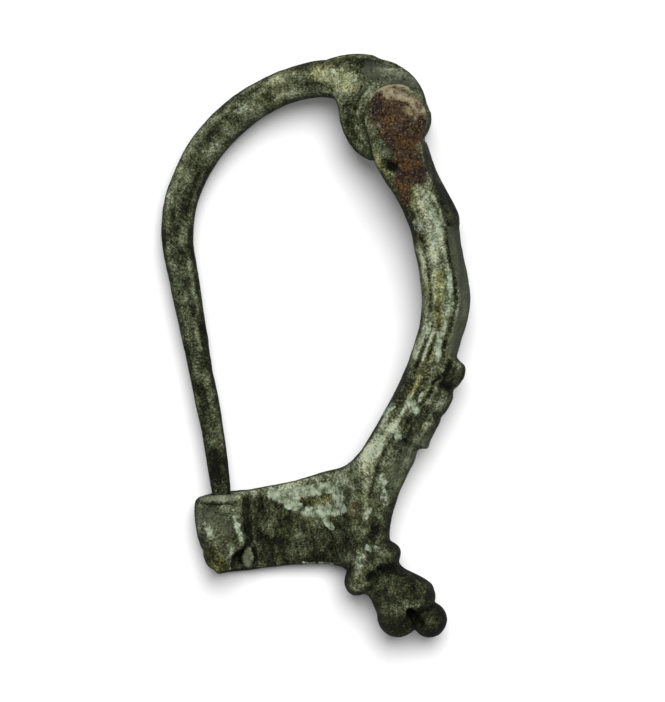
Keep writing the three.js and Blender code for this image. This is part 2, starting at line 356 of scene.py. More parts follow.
@dataclass(frozen=True)
class Place:
    """Where the brooch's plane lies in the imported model: its hinge, and the turn of its axes."""

    hinge: Array
    turn: Array
    axle: tuple[float, float] = (7.95, 22.95)

    @classmethod
    def of_joint(cls, joint: dict) -> Place:
        """Reads the place from the pin's joint.

        The turn is the least one that carries w to the joint's axis: 1 + K + K K / (1 + cosine),
        where K is the cross product's matrix.

        Args:
            joint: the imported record's joint, with its position and axis.

        Returns:
            The place.
        """
        axis = np.array(joint["axis"], float)
        axis /= np.linalg.norm(axis)
        k = np.cross(W_AXIS, axis)
        cross = np.array([[0, -k[2], k[1]], [k[2], 0, -k[0]], [-k[1], k[0], 0]])
        return cls(np.array(joint["pos_m"], float) / MM, np.eye(3) + cross + cross @ cross / (1 + axis[2]))

    def world(self, points: Array) -> Array:
        """Points of the brooch's plane in millimetres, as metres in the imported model."""
        local = points - np.array([*self.axle, 0.0])
        return (local @ self.turn.T + self.hinge) * MM


# ---------------------------------------------------------------- coats of patina


class Coat(Enum):
    """The coats that lie over the bare patina, each a mask stored on a skin's points. In some places the dark
    and pit masks hold painted shade, and the pale and cream masks hold painted highlights.
    """

    RUST = "rust"
    CRUST = "crust"
    PALE = "pale"
    DARK = "dark"
    TAN = "tan"
    SMOOTH = "smooth"
    PIT = "pit"
    CREAM = "cream"


@dataclass(frozen=True)
class Patch:
    """One patch of a coat on the side that shows: a streak between two points, with a half width."""

    coat: Coat
    start: tuple[float, float]
    end: tuple[float, float]
    reach: float
    strength: float = 1.0

    def cover(self, points: Array) -> Array:
        """How much of the coat lies on each point.

        It is the strength within the streak, and falls as an S curve between half and one and a
        half times the half width from the streak's middle line. The far side gets none.

        Args:
            points: the skin's points in millimetres.

        Returns:
            The cover over each point, from 0 to the strength.
        """
        a, b = np.array(self.start), np.array(self.end)
        line = b - a
        share = np.clip((points[:, :2] - a) @ line / max(line @ line, 1e-9), 0.0, 1.0)
        away = np.linalg.norm(points[:, :2] - a - share[:, None] * line, axis=1)
        near = 1.0 - smoothstep(away, 0.5 * self.reach, 1.5 * self.reach)
        return self.strength * near * smoothstep(points[:, 2], -1.75, -1.25)


# ---------------------------------------------------------------- a casting's skin


@dataclass
class Skin:
    """A remeshed casting as arrays: its points in millimetres, its four-sided faces and its edges."""

    points: Array
    quads: Array
    edges: Array

    @classmethod
    def of_mesh(cls, mesh: bpy.types.Mesh) -> Skin:
        """Reads a mesh that a voxel remesh has made, which has four-sided faces only.

        Args:
            mesh: the remeshed mesh.

        Returns:
            The skin, in the mesh's own units.
        """
        points = np.empty(len(mesh.vertices) * 3)
        mesh.vertices.foreach_get("co", points)
        quads = np.empty(len(mesh.loops), np.int64)
        mesh.loops.foreach_get("vertex_index", quads)
        edges = np.empty(len(mesh.edges) * 2, np.int64)
        mesh.edges.foreach_get("vertices", edges)
        return cls(points.reshape(-1, 3), quads.reshape(-1, 4), edges.reshape(-1, 2))

    def normals(self) -> Array:
        """Each point's outward direction: its faces' cross products of diagonals, added up.

        Returns:
            Rows of length 1.
        """
        p = self.points[self.quads]
        facing = np.cross(p[:, 2] - p[:, 0], p[:, 3] - p[:, 1])
        total = np.stack(
            [
                np.bincount(self.quads.ravel(), np.repeat(facing[:, axis], 4), len(self.points))
                for axis in range(3)
            ],
            axis=1,
        )
        return total / np.maximum(np.linalg.norm(total, axis=1, keepdims=True), 1e-12)

    def averaged(self, values: Array) -> Array:
        """The mean of each point's neighbours along the edges.

        Args:
            values: one number or one row for each point.

        Returns:
            The means, in the values' own shape.
        """
        table = values.reshape(len(values), -1)
        ends = np.concatenate([self.edges, self.edges[:, ::-1]])
        count = np.maximum(np.bincount(ends[:, 0], minlength=len(table)), 1)
        sums = [np.bincount(ends[:, 0], column[ends[:, 1]], len(table)) for column in table.T]
        return (np.stack(sums, axis=1) / count[:, None]).reshape(values.shape)

    def relax(self, share: float, rounds: int) -> None:
        """Moves each point a share of the way to its neighbours' mean, several times."""
        for _ in range(rounds):
            self.points += share * (self.averaged(self.points) - self.points)

    def hollowness(self, rounds: int = 4) -> Array:
        """How hollow the skin is: the neighbours' mean height over each point, evened out.

        Args:
            rounds: how often each height is averaged with its neighbours'.

        Returns:
            The height in millimetres: above 0 in a hollow, and below 0 on a ridge.
        """
        height = np.sum((self.averaged(self.points) - self.points) * self.normals(), axis=1)
        for _ in range(rounds):
            height = 0.5 * height + 0.5 * self.averaged(height)
        return height

    def push(self, height: Array) -> None:
        """Moves each point outwards by a height in millimetres."""
        self.points += height[:, None] * self.normals()


@dataclass(frozen=True)
class Corrosion:
    """How deep the ground has eaten a surface: heights and sizes in millimetres."""

    swell: float = 0.05
    swell_size: float = 2.6
    grain: float = 0.035
    grain_size: float = 0.8
    pit: float = 0.09
    pit_size: float = 1.0
    pit_share: float = 0.33

    def height(self, points: Array, seed: int) -> Array:
        """The relief over each point: slow swelling, rough grain, and pits round scattered points.

        A pit is a bowl inside pit_share of a cell's size from its random point, and only where a
        slow noise allows pits at all.

        Args:
            points: the skin's points in millimetres.
            seed: the casting's own number.

        Returns:
            The height over each point in millimetres.
        """
        swelling = self.swell * fractal(points, self.swell_size, 2, seed)
        rough = self.grain * fractal(points, self.grain_size, 3, seed + 10)
        bowl = 1.0 - smoothstep(nearest_cell(points, self.pit_size, seed + 20), 0.0, self.pit_share)
        allowed = smoothstep(fractal(points, 4.0, 2, seed + 30), -0.1, 0.25)
        return swelling + rough - self.pit * bowl * allowed


@dataclass
class Casting:
    """A piece that is melted from closed shells into one skin, and dressed with coats."""

    place: Place
    name: str = "casting"
    body: str = "brooch"
    slot_name: str = "bronze_bow"
    voxel: float = 0.17
    seed: int = 1
    corrosion: Corrosion = field(default_factory=Corrosion)
    patches: tuple[Patch, ...] = ()
    tones: tuple[tuple[float, float, float], ...] = ()
    holes: tuple[tuple[float, float, float, float], ...] = ()
    streak_rise: float = 0.06
    tone_reach: float = 3.0
    tone_rest: float = 0.05

    def shells(self) -> Shell:
        """The closed surfaces that the piece is melted from."""
        raise NotImplementedError

    def cutters(self) -> list[Shell]:
        """Closed surfaces that are taken away before the piece is melted."""
        return []

    def shaped(self, skin: Skin) -> Array:
        """The piece's own relief over each point of its skin, in millimetres."""
        return np.zeros(len(skin.points))

    def streaks(self, points: Array) -> Array:
        """Fine lines that the tools or the ground have left, from -1 to 1 over each point."""
        return np.zeros(len(points))

    def coats(self, skin: Skin) -> dict[Coat, Array]:
        """The piece's masks: the strongest patch of each coat at each point.

        Args:
            skin: the piece's skin, before its relief.

        Returns:
            A mask over the points for each coat.
        """
        masks = {coat: np.zeros(len(skin.points)) for coat in Coat}
        for patch in self.patches:
            masks[patch.coat] = np.maximum(masks[patch.coat], patch.cover(skin.points))
        return masks

    def tone(self, points: Array) -> Array:
        """How light the patina lies about each point: the tones' mean, weighed by nearness.

        A tone's weight is a bell about its place, and a small standing weight of no tone fades the
        mean out far from all of them.

        Args:
            points: the skin's points in millimetres.

        Returns:
            The tone over each point.
        """
        weight, total = np.full(len(points), self.tone_rest), np.zeros(len(points))
        for u, v, value in self.tones:
            near = np.exp(-((points[:, 0] - u) ** 2 + (points[:, 1] - v) ** 2) / self.tone_reach**2)
            weight += near
            total += near * value
        return total / weight

    def melted(self) -> Skin:
        """Cuts the shells and melts them into one skin, with the modifiers applied.

        Returns:
            The skin in the brooch's plane, in millimetres.
        """
        piece = blank(self.name + "_blank", self.shells())
        helpers = [blank(f"{self.name}_cutter{i}", shell) for i, shell in enumerate(self.cutters())]
        for helper in helpers:
            cut = piece.modifiers.new("cut", "BOOLEAN")
            cut.object, cut.operation, cut.solver, cut.use_self = helper, "DIFFERENCE", "EXACT", True
        remesh = piece.modifiers.new("melt", "REMESH")
        remesh.mode, remesh.voxel_size, remesh.adaptivity = "VOXEL", self.voxel, 0.0
        depsgraph = bpy.context.evaluated_depsgraph_get()
        mesh = bpy.data.meshes.new_from_object(piece.evaluated_get(depsgraph))
        skin = Skin.of_mesh(mesh)
        for used in (piece, *helpers):
            bpy.data.objects.remove(used)
        bpy.data.meshes.remove(mesh)
        return skin

    def build(self, material: bpy.types.Material, *nodes: str) -> bpy.types.Object:
        """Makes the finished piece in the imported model's place.

        Args:
            material: its finish.
            nodes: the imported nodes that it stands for.

        Returns:
            The object, riding on its body.
        """
        skin = self.melted()
        skin.relax(0.5, 2)
        masks = self.coats(skin)
        streak = self.streaks(skin.points)
        relief = self.shaped(skin) + self.streak_rise * streak
        relief = relief + self.corrosion.height(skin.points, self.seed)
        for u, v, reach, depth in self.holes:
            away = np.hypot(skin.points[:, 0] - u, skin.points[:, 1] - v)
            relief -= depth * bump(away, 0.0, reach) * smoothstep(skin.points[:, 2], 0.0, 1.0)
        skin.push(relief)
        hollow = skin.hollowness()
        # painted shade: a mask, stronger where a face turns sideways out of the brooch's plane, that darkens
        # the patina
        painted_edge_shade = smoothstep(1.0 - np.abs(skin.averaged(skin.normals())[:, 2]), 0.2, 0.85)
        mesh = bpy.data.meshes.new(self.name)
        mesh.from_pydata(self.place.world(skin.points), [], skin.quads.tolist())
        mesh.shade_smooth()
        for coat, mask in masks.items():
            store(mesh, coat.value, mask)
        store(mesh, "relief", relief)
        store(mesh, "hollow", hollow)
        store(mesh, "painted_edge_shade", painted_edge_shade)
        store(mesh, "streak", streak)
        store(mesh, "tone", self.tone(skin.points))
        piece = bpy.data.objects.new(self.name, mesh)
        bpy.context.scene.collection.objects.link(piece)
        mesh.materials.append(material)
        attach(piece, self.body)
        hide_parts(*nodes)
        LOG.info("%s: %d faces, %.3f mm voxels", self.name, len(skin.quads), self.voxel)
        return piece


def blank(name: str, shell: Shell) -> bpy.types.Object:
    """A shell as an object in millimetres, used only while a casting is melted.

    Args:
        name: the object's name.
        shell: its surface.

    Returns:
        The object, in the scene.
    """
    mesh = bpy.data.meshes.new(name)
    mesh.from_pydata(shell.points, [], shell.faces)
    mesh.validate()
    made = bpy.data.objects.new(name, mesh)
    bpy.context.scene.collection.objects.link(made)
    return made


def store(mesh: bpy.types.Mesh, name: str, values: Array) -> None:
    """Keeps one number for each point of a mesh under a name that its material reads."""
    attribute = mesh.attributes.new(name, "FLOAT", "POINT")
    attribute.data.foreach_set("value", np.asarray(values, np.float32))


# ---------------------------------------------------------------- the bow


@dataclass(frozen=True)
class Rung:
    """A place along the bow: the spine's point, its reach to the inside and outside, half width,
    squareness, and the width of the bevel along its outer edge."""

    u: float
    v: float
    inner: float
    outer: float
    half: float
    square: float
    bevel: float


BOW_RUNGS = (
    Rung(7.95, 22.95, 3.15, 3.09, 3.6, 10, 0.1),
    Rung(8.3, 20.6, 3, 2.44, 3.6, 10, 0.3),
    Rung(8.75, 18.8, 2.9, 2.5, 3.6, 8, 0.5),
    Rung(9.15, 17.6, 2.6, 2.5, 3.55, 6, 0.6),
    Rung(9.65, 16.55, 2.4, 2.4, 3.5, 5, 0.7),
    Rung(10.5, 14.9, 2.36, 2.43, 3.4, 4, 0.8),
    Rung(11.25, 13.3, 2.46, 2.55, 3.35, 3.6, 0.9),
    Rung(11.7, 12.15, 2.49, 2.59, 3.3, 3.4, 0.9),
    Rung(11.95, 11.3, 2.49, 2.23, 3.3, 3.4, 0.9),
    Rung(12.15, 10.5, 2.54, 2.11, 3.25, 3.4, 0.95),
    Rung(12.55, 8.6, 2.5, 2.03, 3.2, 3.2, 0.95),
    Rung(12.8, 6.8, 2.52, 2.21, 3.15, 3.2, 1),
    Rung(12.95, 4.7, 2.57, 2.33, 3.1, 3.2, 1),
    Rung(12.85, 3.2, 2.5, 2.18, 3.1, 3.2, 1),
    Rung(12.42, 1.4, 2.32, 2.08, 3, 3.2, 1.05),
    Rung(11.8, -0.4, 2.25, 2.15, 2.9, 3.2, 1.2),
    Rung(10.2, -4.3, 2.12, 2.2, 2.75, 3, 1.9),
    Rung(8.1, -8.3, 2.24, 2.25, 2.7, 2.8, 2.6),
    Rung(7.3, -9.7, 2.27, 2.85, 2.65, 2.8, 2.9),
    Rung(6.4, -11.6, 2.4, 2.85, 2.6, 2.8, 2.9),
    Rung(5.7, -15.4, 2, 2.15, 2.5, 2.8, 2.3),
    Rung(5.7, -18.6, 2, 1.5, 2.5, 2.8, 1.8),
    Rung(5.7, -22, 1.8, 1.8, 2.4, 2.6, 1.8),
)


@dataclass
class Bow(Casting):
    """The bow casting: two hinge lugs, the arched bow, the catchplate with its catch, and the foot."""

    name: str = "bow_casting"
    seed: int = 11
    voxel: float = 0.172
    lug_radius: float = 3.15
    lug_half: float = 3.6
    slot_half: float = 2.25
    slot_radius: float = 3.62
    heel_radius: float = 5.7
    heel_angles: tuple[float, float] = (165.0, 286.0)
    axle_hole: float = 1.0
    band: tuple[float, float] = (-8.75, -0.6)
    band_rise: float = 1.2
    band_cuts: tuple[tuple[float, float, float], ...] = (
        (-1.7, 0.6, 0.2),
        (-3.15, 0.35, -0.35),
        (-5.6, 0.32, -0.22),
    )
    back_w: float = -2.2
    plate_w: float = -0.7
    flap_w: tuple[float, float] = (1.5, 2.5)
    flap_edge_u: float = -7.35
    root_u: float = 5.3
    fillet: tuple[float, float, float] = (0.2, 4.7, 2.38)
    fold: tuple[float, float, float] = (-10.15, 0.15, 2.35)
    channel: tuple[float, float, float] = (-9.85, 0.4, 1.1)
    foot: tuple[float, float] = (5.55, -22.3)
    foot_axis: tuple[float, float] = (0.69, -0.724)

    def spine(self, count: int) -> Array:
        """The rungs as smooth rows: u, v, inner, outer, half width, squareness and bevel."""
        rows = [[r.u, r.v, r.inner, r.outer, r.half, r.square, r.bevel] for r in BOW_RUNGS]
        return through(np.array(rows), count)

    def moulding(self, v: Array) -> Array:
        """How far the cross mouldings stand out of the bow's outer edge.

        It is a raised band with S-curved ends, plus a bell for each ridge or cut across it.

        Args:
            v: the spine's height at each place.

        Returns:
            The rise in millimetres.
        """
        low, high = self.band
        raised = smoothstep(v, low - 0.3, low + 0.3) * (1.0 - smoothstep(v, high - 0.3, high + 0.3))
        return self.band_rise * raised + sum(
            rise * bump(v, at, width) * raised for at, width, rise in self.band_cuts
        )

    def arch(self) -> Shell:
        """The bow itself: a squared oval carried along the spine.

        Its height is cut down along the outer edge to a bevel that rises as a power of the distance
        from the edge, over the bevel's width.

        Returns:
            The closed shell.
        """
        rows = self.spine(260)
        side, height = oval(112, rows[:, 5:6])
        reach = np.where(side > 0, rows[:, 2:3], (rows[:, 3] + self.moulding(rows[:, 1]))[:, None])
        across = side * reach
        from_edge = across + (rows[:, 3] + self.moulding(rows[:, 1]))[:, None]
        share = np.clip(from_edge / np.maximum(rows[:, 6:7], 0.1), 0.0, 1.0)
        bevel = 0.42 + 0.58 * share**0.9
        sections = np.stack([across, height * rows[:, 4:5] * bevel], axis=-1)
        path = np.concatenate([rows[:, :2], np.zeros((len(rows), 1))], axis=1)
        return swept(path, sections)

    def lugs(self) -> Shell:
        """The round end of the head about the axle, before the slot parts it into two lugs.

        It is a drum: circles of the outline's radius at the outline's heights, with eased rims.

        Returns:
            The closed shell.
        """
        rim = 0.25
        outline = np.array(
            [
                [-self.lug_half, 0.05],
                [-self.lug_half, self.lug_radius - rim],
                [-self.lug_half + 0.3 * rim, self.lug_radius - 0.3 * rim],
                [-self.lug_half + rim, self.lug_radius],
                [self.lug_half - rim, self.lug_radius],
                [self.lug_half - 0.3 * rim, self.lug_radius - 0.3 * rim],
                [self.lug_half, self.lug_radius - rim],
                [self.lug_half, 0.05],
            ]
        )
        circle = arc((0.0, 0.0), 1.0, 0.0, 360.0, 97)[:-1]
        rings = np.empty((len(outline), len(circle), 3))
        rings[..., :2] = np.array(self.place.axle) + outline[:, None, 1:] * circle
        rings[..., 2] = outline[:, :1]
        return Shell.of_rings(rings)

    def catch(self) -> Shell:
        """The catchplate and its catch: one sheet, flat by the bow and rolled over at its end.

        The first parameter runs along the sheet, across the brooch: plate, half circle, flap. The
        second runs from the bottom rim to the top one. A point is the middle of the sheet's back
        and front lines, plus or minus half their distance times a superellipse of the second
        parameter, which rounds the rims.

        Returns:
            The closed shell.
        """
        plate, bend, flap = np.linspace(0, 1, 90), np.linspace(0, 1, 50)[1:], np.linspace(0, 1, 40)[1:]
        back_plate = self._plate(plate, self.fold[0], front=False)
        front_plate = self._plate(plate, self.channel[0], front=True)
        back = np.concatenate([back_plate, self._bend(bend, self.fold)])
        front = np.concatenate([front_plate, self._bend(bend, self.channel)])
        back = np.concatenate([back, self._flap(flap, self.fold, self.flap_w[1])])
        front = np.concatenate([front, self._flap(flap, self.channel, self.flap_w[0])])
        middle, half = (back + front) / 2, (back - front) / 2
        turn = np.concatenate([np.zeros(len(plate)), bend, np.ones(len(flap))])
        t = np.linspace(0.0, 1.0, 70)
        rim = (1.0 - np.abs(2.0 * t - 1.0) ** 14) ** (1.0 / 3.0)
        end = np.ones(len(middle))
        end[-len(flap):] = np.sqrt(np.clip(1.0 - smoothstep(flap, 0.86, 1.0) ** 2, 0.0, 1.0))
        end[0] = 0.0
        both = np.concatenate([rim, -rim[::-1]])
        t = np.concatenate([t, t[::-1]])
        low, high = self._rims(middle[:, 0], turn)
        v = low[:, None] + (high - low)[:, None] * t[None]
        uw = middle[:, None] + (end[:, None] * both[None])[..., None] * half[:, None]
        u = uw[..., 0] + self._worn_fold(v) * np.sin(np.pi * np.clip(turn, 0.0, 1.0))[:, None] ** 0.7
        on_flap = np.clip((u - self.fold[0]) / (self.flap_edge(v) - self.fold[0]), 0.0, None)
        stretch = np.where((turn >= 1.0)[:, None], self._edge_shift(v) * np.clip(on_flap, 0, 1.0), 0.0)
        return Shell.of_rings(np.stack([u + stretch, v, uw[..., 1]], axis=-1))

    def _plate(self, share: Array, end_u: float, front: bool) -> Array:
        """The plate's back or front line: the back is straight, and the front rises to the bow.

        Args:
            share: from 0 inside the bow to 1 where the fold begins.
            end_u: where the fold begins.
            front: whether it is the front line.

        Returns:
            Rows of u and w.
        """
        u = self.root_u + (end_u - self.root_u) * share
        if not front:
            return np.stack([u, np.full_like(u, self.back_w)], axis=1)
        low, high, top = self.fillet
        rise = smoothstep(u, low, high)
        return np.stack([u, self.plate_w + (top - self.plate_w) * rise], axis=1)

    @staticmethod
    def _bend(share: Array, turn: tuple[float, float, float]) -> Array:
        """Half a circle about the fold's or the channel's middle, from the plate to the flap."""
        angle = -np.pi / 2 - np.pi * share
        return np.stack([turn[0] + turn[2] * np.cos(angle), turn[1] + turn[2] * np.sin(angle)], axis=1)

    def _flap(self, share: Array, turn: tuple[float, float, float], w: float) -> Array:
        """The flap's line as u and w, from the fold to its free edge."""
        u = turn[0] + (self.flap_edge_u - turn[0]) * share
        return np.stack([u, np.full_like(u, w)], axis=1)

    @staticmethod
    def _rims(u: Array, turn: Array) -> tuple[Array, Array]:
        """The bottom and top rim along the sheet, with the fold's corners worn round.

        Args:
            u: where the sheet's middle line lies.
            turn: 0 on the plate, 1 on the flap, and the share of the half circle between them.

        Returns:
            The bottom rim's v and the top rim's v.
        """
        top = through(
            np.array(
                [[-12.5, -14.95], [-11.15, -14.7], [-7.65, -14.4], [-5.75, -14.1], [-1.95, -13.3],
                 [0.65, -12.5], [2.85, -11.8], [3.85, -10.9], [4.6, -9.9], [6.6, -7.0]]
            ),
            200,
        )
        bottom = through(
            np.array(
                [[-12.5, -22.4], [-10.15, -22.75], [-7.65, -22.6], [-5.0, -22.25], [-1.65, -21.95],
                 [2.1, -22.1], [4.2, -22.9], [6.6, -22.0]]
            ),
            200,
        )
        corner = np.sin(np.pi * np.clip(turn, 0.0, 1.0)) ** 3
        flap = smoothstep(turn, 0.5, 1.0)
        high = np.interp(u, top[:, 0], top[:, 1]) - 0.15 * corner - 0.25 * flap
        low = np.interp(u, bottom[:, 0], bottom[:, 1]) + 0.3 * corner
        return low, high

    @staticmethod
    def _worn_fold(v: Array) -> Array:
        """How far the fold's left side is worn back to the right, with its chipped step.

        Args:
            v: the height of each point.

        Returns:
            The shift in u, in millimetres.
        """
        heights = [-22.8, -22.4, -21.9, -21.0, -20.45, -20.0, -19.0, -17.4, -16.2, -15.5, -15.0, -14.7]
        worn = [2.1, 1.6, 1.2, 0.95, 0.95, 0.65, 0.3, 0.02, 0.0, 0.08, 0.3, 0.7]
        return np.interp(v, heights, worn)

    @staticmethod
    def flap_edge(v: Array) -> Array:
        """The flap's free edge, which slants, and whose lower part is broken away.

        Args:
            v: the height of each point.

        Returns:
            The edge's u.
        """
        heights = [-22.6, -21.6, -21.0, -20.5, -20.1, -19.6, -18.0, -16.0, -15.0]
        edge = [-8.3, -8.45, -8.35, -7.9, -7.25, -7.0, -7.1, -7.4, -7.3]
        return np.interp(v, heights, edge)

    def _edge_shift(self, v: Array) -> Array:
        """How far the flap's free edge lies right of its straight line, by height."""
        return self.flap_edge(v) - self.flap_edge_u

    def foot_parts(self) -> list[Shell]:
        """The foot: a ringed collar and a knob turned about one axis, two lobes, and the end ball.

        Returns:
            The closed shells, with the chip that stands beside the catch's free edge.
        """
        axis = np.array([*self.foot_axis, 0.0])
        axis /= np.linalg.norm(axis)
        outline = through(
            np.array(
                [[-1.7, 0.05], [-1.6, 2.3], [-1.0, 3.1], [-0.35, 3.38], [0.35, 3.36], [0.85, 2.9],
                 [1.25, 2.3], [1.7, 2.25], [3.2, 2.75], [4.5, 3.15], [5.2, 3.2], [5.8, 2.85],
                 [6.15, 2.1], [6.25, 0.05]]
            ),
            120,
        )
        diamond = np.array(
            [[-6.35, -21.0], [-6.8, -20.0], [-7.25, -20.05], [-7.85, -21.2], [-7.3, -22.2], [-6.75, -22.15]]
        )
        chip = pillow(np.array([-7.03, -21.15, -0.3]), diamond, 1.1, 0.2)
        return [
            turned(np.array([*self.foot, 0.0]), axis, outline),
            ellipsoid((8.0, -26.95, 0.1), (2.1, 2.15, 2.2)),
            ellipsoid((9.95, -24.95, 0.3), (1.8, 1.8, 2.3)),
            ellipsoid((11.15, -27.35, -0.6), (1.75, 1.8, 1.75)),
            chip,
        ]

    def shells(self) -> Shell:
        """The arch, the lugs, the catch and the foot."""
        return Shell.joined([self.arch(), self.lugs(), self.catch(), *self.foot_parts()])

    def cutters(self) -> list[Shell]:
        """The slot between the lugs, deeper where the pin's heel turns, and the axle's hole.

        Returns:
            The closed shells, with the notch between the foot's lobes.
        """
        angle = np.linspace(0.0, 360.0, 181)[:-1]
        start, end = self.heel_angles
        inside = smoothstep(angle, start - 2, start) * (1 - smoothstep(angle, end, end + 2))
        radius = self.slot_radius + (self.heel_radius - self.slot_radius) * inside
        edge = np.stack([np.cos(np.radians(angle)), np.sin(np.radians(angle))], axis=1)
        centre = np.array(self.place.axle)
        rings = np.empty((2, len(angle), 3))
        rings[..., :2] = centre + radius[:, None] * edge
        rings[..., 2] = np.array([[-self.slot_half], [self.slot_half]])
        hole = rings.copy()
        hole[..., :2] = centre + self.axle_hole * edge
        hole[..., 2] = np.array([[-self.lug_half - 1], [self.lug_half + 1]])
        notch = ellipsoid((10.0, -27.3, 2.3), (0.6, 1.7, 1.9), turn=0.6)
        return [Shell.of_rings(rings), Shell.of_rings(hole), notch]

    def on_spine(self, points: Array) -> tuple[Array, Array, Array]:
        """Where points lie by the bow, measured from the nearest row of its spine.

        Args:
            points: the skin's points in millimetres.

        Returns:
            The row's v, how far right of the spine the point lies, and the row's outer reach.
        """
        rows = self.spine(240)
        away = np.linalg.norm(points[:, None, :2] - rows[None, :, :2], axis=2)
        row = np.argmin(away, axis=1)
        ahead = headings(rows)[row]
        step = points[:, :2] - rows[row, :2]
        side = step[:, 0] * ahead[:, 1] - step[:, 1] * ahead[:, 0]
        v = rows[row, 1]
        return v, side, rows[row, 3] + self.moulding(v)

    @staticmethod
    def bevel_width(v: Array) -> Array:
        """How wide the bevel along the outer edge looks, by the spine's height."""
        return np.interp(v, [-16.0, -9.7, -4.3, 0.0, 12.0], [2.2, 2.8, 2.0, 1.2, 1.0])

    def shaped(self, skin: Skin) -> Array:
        """The bow's own relief.

        A groove inside the bevel, cross cuts between the mouldings, and the incised line under the
        catch's rim.

        Args:
            skin: the bow's skin.

        Returns:
            The height over each point in millimetres.
        """
        p = skin.points
        v, side, outer = self.on_spine(p)
        edge = side + outer
        on_bow = smoothstep(p[:, 1], -16.0, -14.0) * (1 - smoothstep(p[:, 1], 15.0, 17.0))
        on_bow *= (1 - smoothstep(np.abs(side), 3.6, 4.4)) * smoothstep(p[:, 2], 0.2, 0.9)
        relief = -0.09 * bump(edge, 1.1 * self.bevel_width(v), 0.22) * on_bow
        for at, cut_width, rise in self.band_cuts[1:]:
            fade = 1 - smoothstep(edge, 0.6, 2.2)
            relief += 0.5 * rise * bump(v, at, cut_width) * fade * on_bow
        on_flap = smoothstep(-p[:, 0], 6.5, 7.4) * smoothstep(p[:, 2], 1.6, 2.2)
        line_v = -15.72 + 0.05 * np.sin(p[:, 0] * 2.0)
        relief -= 0.16 * bump(p[:, 1], line_v, 0.13) * on_flap * smoothstep(-p[:, 0], 8.0, 8.6)
        return relief

    def streaks(self, points: Array) -> Array:
        """Lengthwise lines on the bow, and slanting file strokes on the catchplate by the flap.

        Both are value noise on points that are stretched along the lines.

        Args:
            points: the skin's points in millimetres.

        Returns:
            The lines over each point, from -1 to 1.
        """
        v, side, _ = self.on_spine(points)
        on_bow = smoothstep(points[:, 1], -12.0, -9.0) * (1 - smoothstep(points[:, 1], 14.0, 17.0))
        on_bow *= 1 - smoothstep(np.abs(side), 3.2, 4.0)
        along = np.stack([side * 2.6, v * 0.22, points[:, 2] * 0.8], axis=1)
        lengthwise = value_noise(along, 5) * on_bow * (0.45 + 0.55 * smoothstep(side, -0.8, 0.4))
        slant = points[:, 0] * 0.97 + points[:, 1] * 0.26
        flat = np.zeros_like(slant)
        strokes = 0.65 * value_noise(np.stack([slant * 3.2, points[:, 1] * 0.2, flat], axis=1), 9)
        beside = smoothstep(points[:, 0], -7.4, -6.4) * (1 - smoothstep(points[:, 0], -3.8, 0.5))
        beside *= 1 - smoothstep(points[:, 1], -15.4, -14.4)
        return np.clip(1.5 * (lengthwise + strokes * beside * front_of_plate(points)), -1.0, 1.0)

    def coats(self, skin: Skin) -> dict[Coat, Array]:
        """The patches, and the coats that follow the bow's own form.

        These are the smooth strip along the outer edge, painted shade in the groove inside it, a painted
        highlight in cream on the lug's upper rim, painted shade in the crevice along the flap's free edge,
        and painted shade where the flap's broken corner shows the channel.

        Args:
            skin: the bow's skin.

        Returns:
            A mask over the points for each coat.
        """
        masks = super().coats(skin)
        p = skin.points
        v, side, outer = self.on_spine(p)
        edge = side + outer
        upper = smoothstep(p[:, 1], -1.5, -0.2) * (1 - smoothstep(p[:, 1], 11.0, 12.5))
        strip = (1 - smoothstep(edge, 0.85, 1.15)) * upper
        lower = (1 - smoothstep(p[:, 1], -9.0, -7.5)) * smoothstep(p[:, 1], -19.0, -17.5)
        lower *= smoothstep(p[:, 1], -17.0, -14.5)
        strip = np.maximum(strip, 0.55 * (1 - smoothstep(edge, 1.2, 2.8)) * lower * (side < 0))
        masks[Coat.SMOOTH] = np.maximum(masks[Coat.SMOOTH], strip * smoothstep(p[:, 2], -1.5, -0.5))
        # painted shade: a dark line laid along the groove inside the bevel
        groove = bump(edge, 1.15 * self.bevel_width(v), 0.3) * smoothstep(p[:, 2], 0.2, 0.9)
        groove *= smoothstep(p[:, 1], -16.0, -14.0) * (1 - smoothstep(p[:, 1], 10.0, 12.0))
        masks[Coat.DARK] = np.maximum(masks[Coat.DARK], 0.75 * groove)
        # painted highlight: a cream line, laid through the rust finish, on the near lug's upper rim where the
        # light falls
        off = p[:, :2] - np.array(self.place.axle)
        radius, angle = np.hypot(*off.T), np.degrees(np.arctan2(off[:, 1], off[:, 0]))
        near = smoothstep(p[:, 2], 2.4, 3.0)
        lit_upper_rim = smoothstep(angle, 50.0, 70.0) * (1 - smoothstep(angle, 145.0, 165.0))
        rim = bump(radius, 3.02, 0.16) * near * lit_upper_rim
        masks[Coat.CREAM] = np.maximum(masks[Coat.CREAM], 1.3 * rim)
        masks[Coat.RUST] = np.maximum(masks[Coat.RUST], 1.1 * rim)
        # painted shade: a dark band in the crevice along the flap's free edge
        away = p[:, 0] - self.flap_edge(p[:, 1])
        span = smoothstep(p[:, 1], -22.4, -21.8) * (1 - smoothstep(p[:, 1], -15.6, -14.8))
        under = smoothstep(away, -2.2, -0.4) * (1 - smoothstep(away, 0.1, 0.7)) * span
        under *= 1 - smoothstep(p[:, 2], 1.3, 1.9)
        masks[Coat.DARK] = np.maximum(masks[Coat.DARK], under)
        # painted shade: near black on the plate's front where the flap's broken corner shows the channel's
        # floor in shadow
        hole = bump(p[:, 0], -7.9, 0.45) * bump(p[:, 1], -21.2, 0.9) * front_of_plate(p)
        masks[Coat.PIT] = np.maximum(masks[Coat.PIT], 0.8 * hole)
        return masks


def front_of_plate(points: Array) -> Array:
    """1 on the catchplate's front face, between its back and the height of the flap's underside."""
    w = points[:, 2]
    return smoothstep(w, -1.6, -1.1) * (1 - smoothstep(w, 0.6, 1.2))


# ---------------------------------------------------------------- the pin


